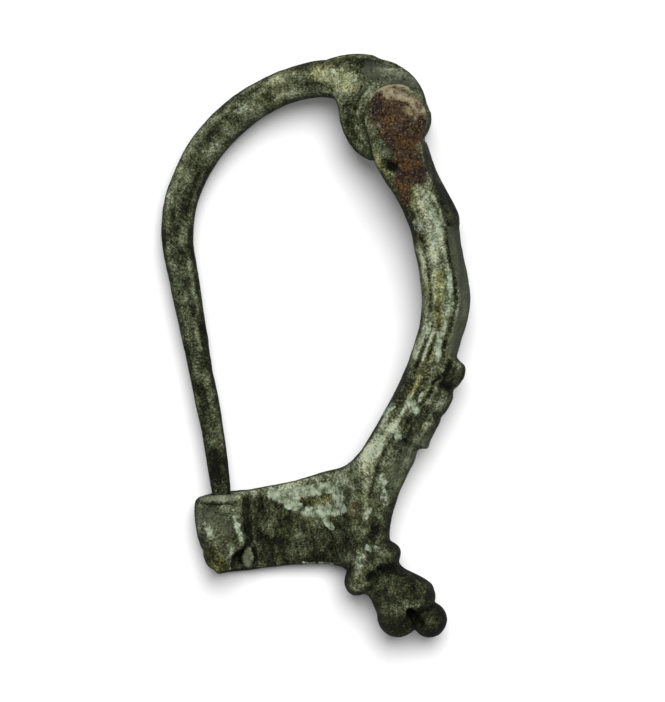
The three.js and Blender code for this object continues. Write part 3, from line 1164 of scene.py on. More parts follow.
@dataclass
class Pin(Casting):
    """The pin: a round arm bent into the arc, and the hinge plate with its crown and heel."""

    name: str = "pin_bar"
    body: str = "pin"
    slot_name: str = "bronze_pin"
    seed: int = 41
    voxel: float = 0.15
    plate_half: float = 1.95
    crown: tuple[float, float, float] = (5.6, 23.45, 5.3)
    back_radius: float = 3.35
    axle_hole: float = 1.0
    arm_rows: tuple[tuple[float, float, float, float, float], ...] = (
        (3.4, 26.6, 2, 1.9, 0),
        (-0.05, 26.8, 1.85, 1.88, 0),
        (-3.1, 26.05, 1.75, 1.8, 0),
        (-6.15, 24.65, 1.72, 1.7, 0),
        (-8.9, 22.55, 1.73, 1.65, 0),
        (-11.25, 19.95, 1.72, 1.6, 0.02),
        (-12.95, 17, 1.68, 1.58, 0.04),
        (-13.91, 14, 1.65, 1.52, 0.06),
        (-14.16, 11.2, 1.63, 1.5, 0.1),
        (-13.51, 6.6, 1.49, 1.4, 0.16),
        (-12.66, 2, 1.32, 1.25, 0.22),
        (-11.81, -2.4, 1.21, 1.15, 0.28),
        (-10.96, -6.6, 1.17, 1.1, 0.33),
        (-10.26, -10.8, 1.07, 1, 0.38),
        (-9.76, -14.4, 0.97, 0.9, 0.4),
        (-9.41, -17.6, 0.81, 0.76, 0.4),
        (-9.16, -20.3, 0.35, 0.3, 0.4),
    )

    def arm(self) -> Shell:
        """The arm: a slightly squared oval of each row's thickness and depth, along the rows.

        Returns:
            The closed shell.
        """
        rows = through(np.array(self.arm_rows), 260)
        side, height = oval(64, 2.3)
        sections = np.stack([side * rows[:, 2:3], height * rows[:, 3:4]], axis=-1)
        return swept(np.stack([rows[:, 0], rows[:, 1], rows[:, 4]], axis=1), sections)

    def plate(self) -> Shell:
        """The hinge plate as a pillow inside its outline: crown arc, arc round the axle, heel.

        Returns:
            The closed shell.
        """
        top = through(np.array([[0.2, 28.35], [1.4, 28.85], [3.0, 29.2], [4.4, 29.25], [5.6, 29.1]]), 30)
        crown = arc(self.crown[:2], self.crown[2], 82.0, 6.0, 60)
        behind = arc(self.place.axle, self.back_radius, 8.0, -84.0, 50)
        heel = through(
            np.array(
                [[7.4, 19.35], [6.4, 18.85], [5.3, 18.65], [4.4, 19.05], [3.5, 19.85], [2.8, 20.95],
                 [2.3, 22.5], [2.0, 24.2], [1.4, 25.1], [0.2, 25.35]]
            ),
            70,
        )
        outline = np.concatenate([top, crown, behind, heel])
        return pillow(np.array([5.0, 24.6, 0.0]), outline, self.plate_half, 0.22)

    def shells(self) -> Shell:
        """The arm and the plate."""
        return Shell.joined([self.arm(), self.plate()])

    def streaks(self, points: Array) -> Array:
        """Lengthwise lines on the arm, and rings about the axle on the plate beside the lug.

        Args:
            points: the skin's points in millimetres.

        Returns:
            The lines over each point, from -1 to 1.
        """
        off = points[:, :2] - np.array(self.place.axle)
        radius, angle = np.hypot(*off.T), np.degrees(np.arctan2(off[:, 1], off[:, 0])) % 360.0
        beside = smoothstep(angle, 120.0, 150.0) * (1 - smoothstep(angle, 225.0, 240.0))
        beside *= 1 - smoothstep(radius, 3.9, 5.2)
        rings = value_noise(np.stack([radius * 3.4, angle * 0.02, points[:, 2] * 0.3], axis=1), 7)
        rows = through(np.array(self.arm_rows), 160)
        away = points[:, None, :2] - rows[None, :, :2]
        row = np.argmin(np.sum(away**2, axis=2), axis=1)
        ahead = headings(rows)[row]
        step = points[:, :2] - rows[row, :2]
        side = step[:, 0] * ahead[:, 1] - step[:, 1] * ahead[:, 0]
        along = np.stack([side * 2.2, row * 0.11, points[:, 2] * 0.8], axis=1)
        on_arm = 1 - smoothstep(points[:, 0], -0.5, 2.5)
        return np.clip(1.5 * rings * beside + 0.9 * value_noise(along, 3) * on_arm, -1.0, 1.0)

    def cutters(self) -> list[Shell]:
        """The axle's hole through the plate.

        Returns:
            The hole as one closed shell.
        """
        circle = arc(self.place.axle, self.axle_hole, 0.0, 360.0, 49)[:-1]
        rings = np.empty((2, len(circle), 3))
        rings[..., :2] = circle
        rings[..., 2] = np.array([[-self.plate_half - 1], [self.plate_half + 1]])
        return [Shell.of_rings(rings)]


# ---------------------------------------------------------------- the axle


@dataclass
class Axle(Casting):
    """The iron axle, with the crust of rust that has swollen over its near end."""

    name: str = "axle_rust"
    slot_name: str = "rusted_iron"
    seed: int = 71
    voxel: float = 0.12
    radius: float = 0.88
    far_w: float = -3.5
    floor_w: float = 3.62
    crust_centre: tuple[float, float] = (8.2, 22.95)
    crust_radius: float = 2.75
    crust_rise: float = 0.5
    corrosion: Corrosion = field(
        default_factory=lambda: Corrosion(0.07, 1.4, 0.06, 0.5, 0.1, 0.7, 0.4)
    )

    def shells(self) -> Shell:
        """The bar, and the crust as a low lens of uneven outline.

        The lens's reach is the sine of its slope, and its height the cosine to the power 1.6. Three
        waves round it make its outline uneven.

        Returns:
            Both closed surfaces as one shell.
        """
        angle = np.linspace(0.0, 2 * np.pi, 96, endpoint=False)
        circle = np.stack([np.cos(angle), np.sin(angle)], axis=1)
        bar = np.empty((2, len(angle), 3))
        bar[..., :2] = np.array(self.place.axle) + self.radius * circle
        bar[..., 2] = np.array([[self.far_w], [self.floor_w + 0.2]])
        uneven = 1 + 0.05 * np.sin(3 * angle + 1) + 0.04 * np.sin(5 * angle) + 0.02 * np.sin(11 * angle)
        slope = np.linspace(0.0, np.pi / 2, 24)
        out = np.sin(slope) * self.crust_radius
        up = self.floor_w + self.crust_rise * np.cos(slope) ** 1.6
        rings = np.empty((len(slope) + 1, len(angle), 3))
        rings[:-1, :, :2] = np.array(self.crust_centre) + (out[:, None] * uneven)[..., None] * circle
        rings[:-1, :, 2] = up[:, None]
        rings[-1, :, :2] = np.array(self.crust_centre) + 0.02 * circle
        rings[-1, :, 2] = self.floor_w - 0.05
        rings[0, :, :2] = np.array(self.crust_centre) + 0.01 * circle
        return Shell.joined([Shell.of_rings(bar), Shell.of_rings(rings)])


# ---------------------------------------------------------------- finishes


def paint(red: int, green: int, blue: int) -> Colour:
    """A colour from screen values, as the linear values that a shader takes.

    Args:
        red: from 0 to 255.
        green: from 0 to 255.
        blue: from 0 to 255.

    Returns:
        Three numbers from 0 to 1.
    """
    values = np.array([red, green, blue]) / 255.0
    linear = np.where(values <= 0.04045, values / 12.92, ((values + 0.055) / 1.055) ** 2.4)
    return tuple(float(value) for value in linear)


PATINA_STOPS: tuple[tuple[float, Colour], ...] = (
    (0.0, paint(8, 9, 4)),
    (0.2, paint(28, 31, 16)),
    (0.4, paint(59, 63, 41)),
    (0.58, paint(91, 96, 73)),
    (0.76, paint(127, 134, 109)),
    (1.0, paint(186, 192, 166)),
)
CRUST_STOPS: tuple[tuple[float, Colour], ...] = (
    (0.2, paint(66, 70, 50)),
    (0.4, paint(112, 120, 95)),
    (0.6, paint(158, 171, 146)),
    (0.85, paint(198, 207, 186)),
)


class Wiring:
    """Small steps for building a node tree, for a material or for a group."""

    def __init__(self, tree: bpy.types.NodeTree) -> None:
        """Starts on an empty tree."""
        self.tree = tree
        tree.nodes.clear()

    def node(self, kind: str, inputs: dict | None = None, **settings: object) -> bpy.types.Node:
        """Adds a node, sets its properties, and links or sets its inputs.

        Args:
            kind: the node's type name.
            inputs: input names or numbers, with a socket to link or a value to set.
            settings: the node's own properties.

        Returns:
            The new node.
        """
        made = self.tree.nodes.new(kind)
        for key, value in settings.items():
            setattr(made, key, value)
        for key, value in (inputs or {}).items():
            if isinstance(value, bpy.types.NodeSocket):
                self.tree.links.new(value, made.inputs[key])
            elif isinstance(value, tuple) and len(value) == 3 and made.inputs[key].type == "RGBA":
                made.inputs[key].default_value = (*value, 1.0)
            else:
                made.inputs[key].default_value = value
        return made

    def math(self, operation: str, *values: object) -> bpy.types.NodeSocket:
        """One arithmetic step on numbers or sockets."""
        return self.node("ShaderNodeMath", dict(enumerate(values)), operation=operation).outputs[0]

    def step(self, value: object, low: float, high: float) -> bpy.types.NodeSocket:
        """An S curve from 0 at low to 1 at high."""
        inputs = {"Value": value, "From Min": low, "From Max": high}
        return self.node("ShaderNodeMapRange", inputs, interpolation_type="SMOOTHSTEP").outputs[0]

    def mix(self, share: object, first: object, second: object) -> bpy.types.NodeSocket:
        """A colour between two, by a share from 0 to 1."""
        inputs = {0: share, 6: first, 7: second}
        return self.node("ShaderNodeMix", inputs, data_type="RGBA").outputs[2]

    def noise(self, where: object, size: float, detail: float, rough: float) -> bpy.types.NodeSocket:
        """Noise of a size in millimetres, from 0 to 1 about 0.5."""
        inputs = {"Vector": where, "Scale": 1.0 / size, "Detail": detail, "Roughness": rough}
        return self.node("ShaderNodeTexNoise", inputs).outputs["Fac"]

    def ramp(self, value: object, stops: Sequence[tuple[float, Colour]]) -> bpy.types.NodeSocket:
        """A colour by a value.

        Args:
            value: the socket to read.
            stops: places from 0 to 1 with their colours.

        Returns:
            The colour's socket.
        """
        made = self.node("ShaderNodeValToRGB", {0: value})
        elements = made.color_ramp.elements
        for number, (place, colour) in enumerate(stops):
            element = elements[number] if number < 2 else elements.new(1.0)
            element.position, element.color = place, (*colour, 1.0)
        return made.outputs[0]

    def tint(self, share: object, first: object, second: object) -> bpy.types.NodeSocket:
        """A colour multiplied by another, by a share from 0 to 1."""
        inputs = {0: share, 6: first, 7: second}
        return self.node("ShaderNodeMix", inputs, data_type="RGBA", blend_type="MULTIPLY").outputs[2]

    def stored(self, name: str) -> bpy.types.NodeSocket:
        """A number that is stored on the mesh's points."""
        return self.node("ShaderNodeAttribute", attribute_name=name).outputs["Fac"]

    def millimetres(self) -> bpy.types.NodeSocket:
        """The object's own coordinates in millimetres.

        Returns:
            The vector's socket.
        """
        here = self.node("ShaderNodeTexCoord").outputs["Object"]
        inputs = {0: here, "Scale": 1.0 / MM}
        return self.node("ShaderNodeVectorMath", inputs, operation="SCALE").outputs[0]

    def group(self, tree: bpy.types.NodeTree, **inputs: object) -> bpy.types.Node:
        """Places a shared group with its own values.

        Args:
            tree: the group.
            inputs: input names, with a socket to link or a value to set.

        Returns:
            The group's node.
        """
        made = self.tree.nodes.new("ShaderNodeGroup")
        made.node_tree = tree
        for key, value in inputs.items():
            socket = made.inputs[key]
            if isinstance(value, bpy.types.NodeSocket):
                self.tree.links.new(value, socket)
            else:
                socket.default_value = (*value, 1.0) if socket.type == "RGBA" else value
        return made


def new_group(
    name: str, inputs: dict[str, object], outputs: Sequence[tuple[str, str]]
) -> bpy.types.NodeTree:
    """An empty shader node group with named sockets.

    Args:
        name: the group's name.
        inputs: names with their standing value: a number, a colour, or None for a vector.
        outputs: names with their socket kinds.

    Returns:
        The group's tree.
    """
    tree = bpy.data.node_groups.new(name, "ShaderNodeTree")
    for key, value in inputs.items():
        kind = "Vector" if value is None else "Color" if isinstance(value, tuple) else "Float"
        socket = tree.interface.new_socket(key, in_out="INPUT", socket_type="NodeSocket" + kind)
        if value is not None:
            socket.default_value = (*value, 1.0) if isinstance(value, tuple) else value
    for key, kind in outputs:
        tree.interface.new_socket(key, in_out="OUTPUT", socket_type="NodeSocket" + kind)
    return tree


def ragged_group() -> bpy.types.NodeTree:
    """A soft mask made into a coat with a ragged, crumbling edge: mask plus noise, then an S curve.

    Returns:
        The group's tree.
    """
    inputs = {"Mask": 0.0, "Where": None, "Size": 0.55, "Break": 1.25}
    tree = new_group("ragged", inputs, [("Mask", "Float")])
    w = Wiring(tree)
    given = w.node("NodeGroupInput").outputs
    scale = w.math("DIVIDE", 1.0, given["Size"])
    inputs = {"Vector": given["Where"], "Scale": scale, "Detail": 6.0, "Roughness": 0.74}
    crumbs = w.node("ShaderNodeTexNoise", inputs).outputs["Fac"]
    shaken = w.math("MULTIPLY", w.math("SUBTRACT", crumbs, 0.5), w.math("MULTIPLY", given["Break"], 2.0))
    covered = w.step(w.math("ADD", given["Mask"], shaken), 0.28, 0.78)
    kept = w.math("MULTIPLY", covered, w.step(given["Mask"], 0.02, 0.3))
    w.node("NodeGroupOutput", {"Mask": kept})
    return tree


def patina_group() -> bpy.types.NodeTree:
    """The patina's colour by its level, from near black in the hollows to a pale bloom.

    The level is the base, plus two fractal noises about zero times the grain's strength. A little
    yellow-brown or blue-green is laid over it by two slow noises.

    Returns:
        The group's tree.
    """
    tree = new_group(
        "patina_colour",
        {"Where": None, "Base": 0.45, "Grain": 1.0},
        [("Color", "Color"), ("Level", "Float")],
    )
    w = Wiring(tree)
    given = w.node("NodeGroupInput").outputs
    here = given["Where"]
    stone = w.math("MULTIPLY", w.math("SUBTRACT", w.noise(here, 1.7, 8.0, 0.64), 0.5), 1.5)
    specks = w.math("MULTIPLY", w.math("SUBTRACT", w.noise(here, 0.21, 3.0, 0.74), 0.5), 1.7)
    grain = w.math("MULTIPLY", w.math("ADD", stone, specks), given["Grain"])
    level = w.math("ADD", grain, given["Base"])
    tone = w.ramp(level, PATINA_STOPS)
    warm = w.math("MULTIPLY", w.step(w.noise(here, 3.1, 4.0, 0.6), 0.5, 0.62), 0.4)
    tone = w.tint(warm, tone, (1.1, 1.0, 0.74))
    cool = w.math("MULTIPLY", w.step(w.noise(here, 2.3, 4.0, 0.6), 0.54, 0.66), 0.4)
    tone = w.tint(cool, tone, (0.85, 1.02, 1.0))
    w.node("NodeGroupOutput", {"Color": tone, "Level": level})
    return tree


@dataclass(frozen=True)
class RustFinish:
    """Rust: purple-brown crust, orange-brown loose rust, and cream concretion."""

    dark: Colour = paint(46, 33, 29)
    brown: Colour = paint(66, 49, 32)
    orange: Colour = paint(92, 64, 28)
    cream: Colour = paint(164, 155, 124)
    black: Colour = paint(14, 10, 8)

    def group(self) -> bpy.types.NodeTree:
        """The rust's colour and height, from the place in millimetres and a mask of its cream.

        Noises of falling size lay brown, orange, black grains and pale specks over the dark crust in
        turn, and the cream comes last, where its mask is stronger than a coarse noise.

        Returns:
            The group's tree.
        """
        outputs = [("Color", "Color"), ("Height", "Float")]
        tree = new_group("rust_colour", {"Where": None, "Cream": 0.0}, outputs)
        w = Wiring(tree)
        given = w.node("NodeGroupInput").outputs
        here = given["Where"]
        broad = w.noise(here, 2.2, 4.0, 0.6)
        tone = w.mix(w.step(broad, 0.4, 0.56), self.dark, self.brown)
        loose = w.math("MULTIPLY", w.step(w.noise(here, 1.3, 6.0, 0.7), 0.5, 0.64), 0.8)
        tone = w.mix(loose, tone, self.orange)
        grains = w.noise(here, 0.34, 5.0, 0.74)
        tone = w.mix(w.math("MULTIPLY", w.step(grains, 0.47, 0.6), 0.92), tone, self.black)
        pale = w.math("MULTIPLY", w.step(w.noise(here, 0.22, 4.0, 0.7), 0.54, 0.68), 0.45)
        tone = w.mix(pale, tone, self.cream)
        crumbs = w.noise(here, 0.9, 7.0, 0.76)
        cream = w.math("SUBTRACT", given["Cream"], w.math("MULTIPLY", w.math("SUBTRACT", crumbs, 0.42), 3.4))
        tone = w.mix(w.math("MULTIPLY", w.step(cream, 0.2, 1.0), 0.8), tone, self.cream)
        height = w.math("SUBTRACT", broad, w.math("MULTIPLY", grains, 0.7))
        w.node("NodeGroupOutput", {"Color": tone, "Height": height})
        return tree


@dataclass(frozen=True)
class BronzeFinish:
    """Bronze patina: how light it is, how strong its grain is, the colours of its thin coats, and how dark
    the painted shade on sideways faces is.
    """

    name: str
    base: float = 0.45
    grain: float = 1.0
    tan: Colour = (1.13, 1.04, 0.7)
    grey: Colour = paint(86, 90, 80)
    black: Colour = paint(9, 10, 7)
    tone_lift: float = 0.3
    pale_lift: float = 0.17
    dark_lift: float = -0.24
    # painted shade on the faces that turn sideways
    edge_shade_lift: float = -0.24
    streak_lift: float = 0.16
    relief_lift: float = 1.4
    hollow_lift: float = -0.35
    ridge_lift: float = 0.1

    def material(
        self, ragged: bpy.types.NodeTree, patina: bpy.types.NodeTree, rust: bpy.types.NodeTree
    ) -> bpy.types.Material:
        """Builds the material from the shared groups.

        Args:
            ragged: turns a soft mask into a crumbling coat.
            patina: gives the patina's colour by its level.
            rust: gives the rust's colour.

        Returns:
            The material.
        """
        material = bpy.data.materials.new(self.name)
        material.use_nodes = True
        w = Wiring(material.node_tree)
        here = w.millimetres()
        hollow = w.stored("hollow")
        coats = {coat: w.group(ragged, Mask=w.stored(coat.value), Where=here).outputs[0] for coat in Coat}
        base: object = self.base
        for level, lift in (
            (w.stored("tone"), self.tone_lift),
            (coats[Coat.PALE], self.pale_lift),
            (coats[Coat.DARK], self.dark_lift),
            # painted shade on the faces that turn sideways
            (w.stored("painted_edge_shade"), self.edge_shade_lift),
            (w.stored("streak"), self.streak_lift),
            (w.stored("relief"), self.relief_lift),
            (w.step(hollow, 0.002, 0.02), self.hollow_lift),
            (w.step(hollow, -0.003, -0.014), self.ridge_lift),
        ):
            base = w.math("MULTIPLY_ADD", level, lift, base)
        calm = w.math("MULTIPLY_ADD", coats[Coat.SMOOTH], -0.42 * self.grain, self.grain)
        patined = w.group(patina, Where=here, Base=base, Grain=calm).outputs
        tone = w.mix(w.math("MULTIPLY", coats[Coat.SMOOTH], 0.35), patined["Color"], self.grey)
        tone = w.tint(w.math("MULTIPLY", coats[Coat.TAN], 0.85), tone, self.tan)
        crumbs = w.math("MULTIPLY_ADD", w.noise(here, 0.55, 6.0, 0.72), 1.9, -0.42)
        tone = w.mix(w.math("MULTIPLY", coats[Coat.CRUST], 0.92), tone, w.ramp(crumbs, CRUST_STOPS))
        # the cream mask holds concretion, and on the bow it also holds the painted highlight along the lug's
        # upper rim
        iron = w.group(rust, Where=here, Cream=w.stored("cream")).outputs
        tone = w.mix(coats[Coat.RUST], tone, iron["Color"])
        # black in the pits, and painted shade in the broken catch's channel
        tone = w.mix(w.math("MULTIPLY", coats[Coat.PIT], 0.96), tone, self.black)
        height = w.math("MULTIPLY_ADD", coats[Coat.CRUST], 0.3, patined["Level"])
        bumped = w.node("ShaderNodeBump", {"Strength": 0.8, "Distance": 0.00016, "Height": height}).outputs[0]
        inputs = {
            "Base Color": tone,
            "Roughness": w.math("MULTIPLY_ADD", patined["Level"], 0.25, 0.48),
            "Normal": bumped,
            "Specular IOR Level": 0.09,
        }
        shader = w.node("ShaderNodeBsdfPrincipled", inputs)
        w.node("ShaderNodeOutputMaterial", {"Surface": shader.outputs[0]})
        return material


def rust_material(name: str, rust: bpy.types.NodeTree) -> bpy.types.Material:
    """The iron's material: the shared rust colour, darker in its pits, and rough all over.

    Args:
        name: the material's name.
        rust: the shared group that gives the rust's colour and height.

    Returns:
        The material.
    """
    material = bpy.data.materials.new(name)
    material.use_nodes = True
    w = Wiring(material.node_tree)
    iron = w.group(rust, Where=w.millimetres(), Cream=w.stored("cream")).outputs
    low = w.math("MULTIPLY", w.step(w.stored("relief"), -0.02, -0.14), 0.6)
    tone = w.mix(low, iron["Color"], RustFinish.black)
    rough = {"Strength": 0.9, "Distance": 0.0002, "Height": iron["Height"]}
    bumped = w.node("ShaderNodeBump", rough).outputs[0]
    inputs = {"Base Color": tone, "Roughness": 0.85, "Normal": bumped, "Specular IOR Level": 0.12}
    shader = w.node("ShaderNodeBsdfPrincipled", inputs)
    w.node("ShaderNodeOutputMaterial", {"Surface": shader.outputs[0]})
    return material


# ---------------------------------------------------------------- the studio


@dataclass(frozen=True)
class Studio:
    """A white floor, one broad soft light from above and the right, and a camera straight above."""

    floor_half: float = 3.0
    floor_z: float = -0.00005
    floor_seen: Colour = (0.93, 0.93, 0.93)
    floor_thrown: Colour = (0.4, 0.4, 0.4)
    light_from: tuple[float, float, float] = (0.1, 0.46, 1.0)
    light_power: float = 3.15
    light_angle: float = 0.74
    sky: float = 0.34
    camera_over: tuple[float, float] = (0.00165, -0.00045)
    camera_height: float = 0.45
    lens: float = 228.7

    def floor(self) -> bpy.types.Object:
        """A flat white floor, which shows bright to the camera and throws little light back.

        Returns:
            The floor.
        """
        half, z = self.floor_half, self.floor_z
        mesh = bpy.data.meshes.new("floor")
        corners = [(-half, -half, z), (half, -half, z), (half, half, z), (-half, half, z)]
        mesh.from_pydata(corners, [], [(0, 1, 2, 3)])
        floor = bpy.data.objects.new("floor", mesh)
        material = bpy.data.materials.new("white_floor")
        material.use_nodes = True
        w = Wiring(material.node_tree)
        seen = w.node("ShaderNodeLightPath").outputs["Is Camera Ray"]
        shade = w.mix(seen, self.floor_thrown, self.floor_seen)
        inputs = {"Base Color": shade, "Roughness": 0.9, "Specular IOR Level": 0.1}
        shader = w.node("ShaderNodeBsdfPrincipled", inputs)
        w.node("ShaderNodeOutputMaterial", {"Surface": shader.outputs[0]})
        mesh.materials.append(material)
        return floor

    def light(self) -> bpy.types.Object:
        """One broad soft light, turned to shine from its direction.

        Returns:
            The light.
        """
        lamp = bpy.data.lights.new("soft_light", "SUN")
        lamp.energy, lamp.angle = self.light_power, self.light_angle
        light = bpy.data.objects.new("soft_light", lamp)
        toward = np.array(self.light_from) / np.linalg.norm(self.light_from)
        tilt = np.arctan2(np.hypot(toward[0], toward[1]), toward[2])
        light.rotation_euler = (tilt, 0.0, np.arctan2(toward[0], -toward[1]))
        return light

    def sky_light(self) -> bpy.types.World:
        """An even white sky.

        Returns:
            The world.
        """
        world = bpy.data.worlds.new("sky")
        world.use_nodes = True
        background = world.node_tree.nodes["Background"]
        background.inputs["Color"].default_value = (1.0, 1.0, 1.0, 1.0)
        background.inputs["Strength"].default_value = self.sky
        return world

    def camera(self) -> bpy.types.Object:
        """A long lens straight above the brooch.

        Returns:
            The camera.
        """
        lens = bpy.data.cameras.new("camera")
        lens.lens, lens.sensor_width, lens.sensor_fit = self.lens, 36.0, "AUTO"
        lens.clip_start = 0.01
        camera = bpy.data.objects.new("camera", lens)
        camera.location = (*self.camera_over, self.camera_height)
        return camera

    def build(self) -> None:
        """Makes the floor, the light, the sky and the camera, and looks through the camera."""
        scene = bpy.context.scene
        floor, light, camera = self.floor(), self.light(), self.camera()
        for made in (floor, light, camera):
            scene.collection.objects.link(made)
        scene.world = self.sky_light()
        scene.view_settings.view_transform = "Standard"
        scene.camera = camera


# ---------------------------------------------------------------- the coats' places

RUST_PATCHES = (
    Patch(Coat.CREAM, (7.2, 25.1), (9.6, 25.0), 0.7, 0.8),
    Patch(Coat.CREAM, (9.9, 24.7), (10.5, 23.6), 0.9, 0.85),
    Patch(Coat.CREAM, (9.0, 23.6), (9.8, 22.7), 0.45, 0.7),
    Patch(Coat.CREAM, (5.7, 22.8), (6.6, 21.2), 0.35, 0.6),
)

BOW_PATCHES = (
    *RUST_PATCHES,
    # the head, and the tail of rust below it
    Patch(Coat.RUST, (7.7, 23.6), (9.2, 22.0), 2.35),
    Patch(Coat.RUST, (8.3, 20.6), (9.8, 17.2), 1.35),
    Patch(Coat.RUST, (8.5, 16.8), (8.9, 14.7), 0.65),
    Patch(Coat.DARK, (6.9, 18.2), (8.1, 17.8), 0.55, 0.9),
    Patch(Coat.PIT, (7.4, 18.0), (7.9, 17.85), 0.34, 0.66),
    Patch(Coat.TAN, (5.7, 19.4), (8.0, 15.2), 0.5, 0.9),
    Patch(Coat.TAN, (9.3, 15.6), (9.6, 14.2), 0.7, 0.7),
    # the bow, from the head down to the plate
    Patch(Coat.PALE, (10.4, 16.6), (12.2, 10.6), 1.2, 0.9),
    Patch(Coat.CRUST, (10.9, 15.2), (11.6, 13.0), 0.45, 0.5),
    Patch(Coat.CRUST, (12.0, 12.6), (12.4, 11.4), 0.4, 0.62),
    Patch(Coat.CRUST, (9.9, 12.4), (10.2, 11.6), 0.35, 0.6),
    Patch(Coat.CRUST, (11.6, 10.9), (12.0, 10.3), 0.4, 0.75),
    Patch(Coat.CRUST, (13.3, 7.4), (13.45, 5.0), 0.26, 0.85),
    Patch(Coat.CRUST, (13.3, 4.4), (12.7, 1.4), 0.22, 0.75),
    Patch(Coat.CRUST, (12.3, 1.2), (12.2, -1.2), 0.3, 0.8),
    Patch(Coat.CRUST, (11.3, 2.2), (11.0, 1.0), 0.25, 0.65),
    Patch(Coat.TAN, (12.3, 7.0), (12.2, 2.6), 0.6, 0.75),
    Patch(Coat.TAN, (11.6, -0.6), (9.2, -5.2), 0.4, 0.7),
    Patch(Coat.CRUST, (9.4, -5.3), (9.9, -6.3), 0.45, 0.8),
    Patch(Coat.CRUST, (10.6, -4.6), (10.3, -5.4), 0.2, 0.7),
    Patch(Coat.CRUST, (7.6, -5.8), (6.7, -6.8), 0.32, 0.8),
    Patch(Coat.CRUST, (8.0, -8.3), (8.2, -9.0), 0.35, 0.75),
    Patch(Coat.PALE, (5.3, -10.8), (6.8, -9.4), 0.7, 0.9),
    Patch(Coat.CRUST, (5.4, -10.9), (6.4, -10.0), 0.3, 0.6),
    Patch(Coat.PALE, (4.9, -12.0), (4.8, -18.4), 0.35, 0.9),
    Patch(Coat.CRUST, (6.6, -13.0), (6.8, -15.5), 0.4, 0.55),
    Patch(Coat.CRUST, (5.2, -16.2), (5.0, -16.9), 0.35, 0.7),
    Patch(Coat.DARK, (12.6, 15.6), (13.6, 12.6), 0.75, 1.0),
    Patch(Coat.DARK, (13.3, -1.9), (13.0, -3.6), 0.55, 1.0),
    Patch(Coat.DARK, (10.9, -6.3), (9.0, -9.6), 0.5, 0.9),
    Patch(Coat.DARK, (9.0, -9.6), (8.2, -11.4), 0.4, 1.0),
    # painted shade on the bevel that faces down, away from the light
    Patch(Coat.DARK, (6.0, -17.4), (5.6, -19.0), 0.5, 0.8),
    # the catchplate
    Patch(Coat.CRUST, (-4.5, -14.8), (-2.4, -15.9), 0.7, 0.95),
    Patch(Coat.CRUST, (-3.0, -14.9), (1.0, -14.1), 0.6, 0.95),
    Patch(Coat.CRUST, (-1.2, -16.6), (1.8, -16.4), 0.55, 0.85),
    Patch(Coat.CRUST, (0.4, -17.0), (1.3, -18.1), 0.35, 0.9),
    Patch(Coat.TAN, (-1.4, -15.4), (0.8, -15.2), 0.6, 0.8),
    Patch(Coat.CRUST, (1.7, -14.2), (2.4, -16.2), 0.6, 0.75),
    Patch(Coat.PALE, (2.2, -13.2), (3.9, -12.4), 0.8, 0.7),
    # painted highlight along the catchplate's top rim, which faces the light
    Patch(Coat.PALE, (-6.6, -14.8), (1.0, -13.0), 0.35, 0.8),
    Patch(Coat.TAN, (-1.2, -17.5), (-0.9, -17.7), 0.35, 0.9),
    Patch(Coat.RUST, (3.85, -15.8), (3.75, -16.9), 0.42, 0.62),
    Patch(Coat.DARK, (-10.0, -22.6), (-3.2, -22.3), 0.28, 0.9),
    Patch(Coat.CRUST, (-1.6, -21.8), (1.4, -21.9), 0.2, 0.62),
    # the catch and the chip beside it
    # painted highlight: the catch's top rim, which faces the light, made pale and smooth
    Patch(Coat.SMOOTH, (-11.4, -15.1), (-8.4, -15.0), 0.4, 1.0),
    Patch(Coat.PALE, (-11.4, -15.1), (-8.0, -15.0), 0.4, 0.9),
    Patch(Coat.SMOOTH, (-11.0, -16.8), (-9.0, -18.2), 1.1, 0.55),
    Patch(Coat.TAN, (-10.6, -20.6), (-9.8, -21.9), 0.9, 0.8),
    Patch(Coat.CRUST, (-11.1, -17.9), (-10.6, -19.0), 0.35, 0.68),
    Patch(Coat.PALE, (-12.0, -16.0), (-11.8, -18.6), 0.4, 0.9),
    Patch(Coat.CRUST, (-8.2, -16.8), (-7.6, -19.2), 0.3, 0.64),
    Patch(Coat.CRUST, (-8.4, -20.3), (-8.9, -20.9), 0.3, 0.62),
    Patch(Coat.PALE, (-7.1, -20.4), (-7.0, -21.9), 0.4, 1.0),
    Patch(Coat.SMOOTH, (-7.1, -20.4), (-7.0, -21.9), 0.4, 1.0),
    # the collar and the foot
    Patch(Coat.PALE, (4.5, -20.6), (4.2, -22.6), 0.6, 1.0),
    Patch(Coat.CRUST, (4.4, -21.0), (4.2, -22.3), 0.5, 0.5),
    Patch(Coat.CRUST, (5.2, -20.0), (6.2, -20.3), 0.4, 0.45),
    Patch(Coat.PALE, (3.6, -24.0), (4.8, -24.1), 0.4, 0.9),
    Patch(Coat.DARK, (6.6, -22.0), (8.6, -22.4), 0.5, 1.0),
    Patch(Coat.PIT, (5.7, -22.7), (5.4, -23.1), 0.4, 0.95),
    # painted highlight on the knob's facet that faces the light
    Patch(Coat.PALE, (9.1, -25.5), (10.5, -25.5), 0.4, 1.0),
    Patch(Coat.TAN, (9.2, -26.3), (9.3, -26.6), 0.22, 1.0),
)

# Deep single pits: u, v, reach and depth.
BOW_HOLES = (
    (7.5, 17.95, 0.5, 0.3),
    (8.0, 17.85, 0.4, 0.22),
    (5.55, -22.85, 0.55, 0.45),
    (6.4, -22.3, 0.5, 0.25),
)
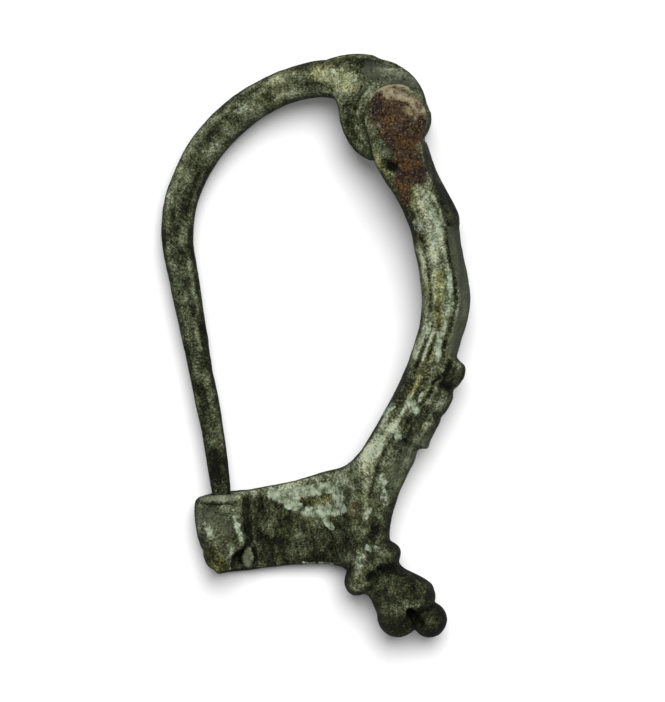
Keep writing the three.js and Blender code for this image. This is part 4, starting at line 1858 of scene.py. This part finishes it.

# How light the patina lies about a place: u, v and the tone. The last tone is painted shade on the end ball.
BOW_TONES = (
    (8.0, 24.0, 0.0),
    (12.0, 13.5, -0.05),
    (12.8, 7.0, 0.4),
    (12.4, 1.0, 0.4),
    (9.5, -4.5, 0.35),
    (13.0, -4.0, -0.1),
    (7.0, -9.5, 0.55),
    (5.0, -13.0, 0.35),
    (6.6, -16.0, -0.1),
    (1.5, -15.0, 0.3),
    (-4.0, -15.0, 0.0),
    (-5.5, -19.0, -0.72),
    (0.0, -20.0, -0.85),
    (-10.0, -17.5, 0.0),
    (-10.0, -21.5, -0.1),
    (4.6, -21.5, -0.2),
    (8.6, -25.0, -0.3),
    # painted shade on the end ball, behind the knob
    (11.2, -27.5, -1.3),
)

PIN_PATCHES = (
    Patch(Coat.CRUST, (1.2, 27.2), (3.4, 26.6), 0.8, 0.5),
    Patch(Coat.PALE, (0.2, 27.4), (3.4, 26.4), 1.1, 0.9),
    Patch(Coat.TAN, (0.2, 27.4), (3.4, 26.4), 1.1, 0.7),
    Patch(Coat.PALE, (7.0, 27.3), (8.4, 27.3), 0.7, 0.7),
    Patch(Coat.SMOOTH, (5.4, 27.6), (9.2, 26.2), 1.0, 0.7),
    Patch(Coat.CRUST, (-8.2, 23.4), (-7.2, 23.9), 0.3, 0.6),
    Patch(Coat.DARK, (3.2, 23.6), (3.8, 20.4), 0.9, 0.58),
    # painted shade along the top edge of the crown
    Patch(Coat.DARK, (3.4, 28.6), (8.0, 28.0), 0.4, 0.8),
)

PIN_TONES = (
    (1.8, 27.0, 0.3),
    (-3.0, 26.0, 0.1),
    (-9.0, 22.0, 0.1),
    (-13.8, 15.0, -0.1),
    (-13.6, 8.0, -0.2),
    (-12.5, 1.0, -0.35),
    (-11.0, -7.0, -0.55),
    (-9.8, -14.0, -0.75),
    (7.5, 27.5, 0.2),
    (4.0, 22.0, -0.08),
)


def main() -> None:
    """Builds the brooch piece by piece, and the studio round it."""
    logging.basicConfig(level=logging.INFO, format="%(name)s %(message)s")
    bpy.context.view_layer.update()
    place = Place.of_joint(frame["joints"][0])
    Studio().build()
    ragged, patina, rust = ragged_group(), patina_group(), RustFinish().group()
    bow_finish = BronzeFinish("bow_patina").material(ragged, patina, rust)
    pin_finish = BronzeFinish("pin_patina").material(ragged, patina, rust)
    Bow(place, patches=BOW_PATCHES, tones=BOW_TONES, holes=BOW_HOLES).build(bow_finish, "bow")
    Pin(place, patches=PIN_PATCHES, tones=PIN_TONES).build(pin_finish, "pin")
    Axle(place, patches=RUST_PATCHES).build(rust_material("axle_rust", rust), "axle")


if __name__ == "__main__":
    main()
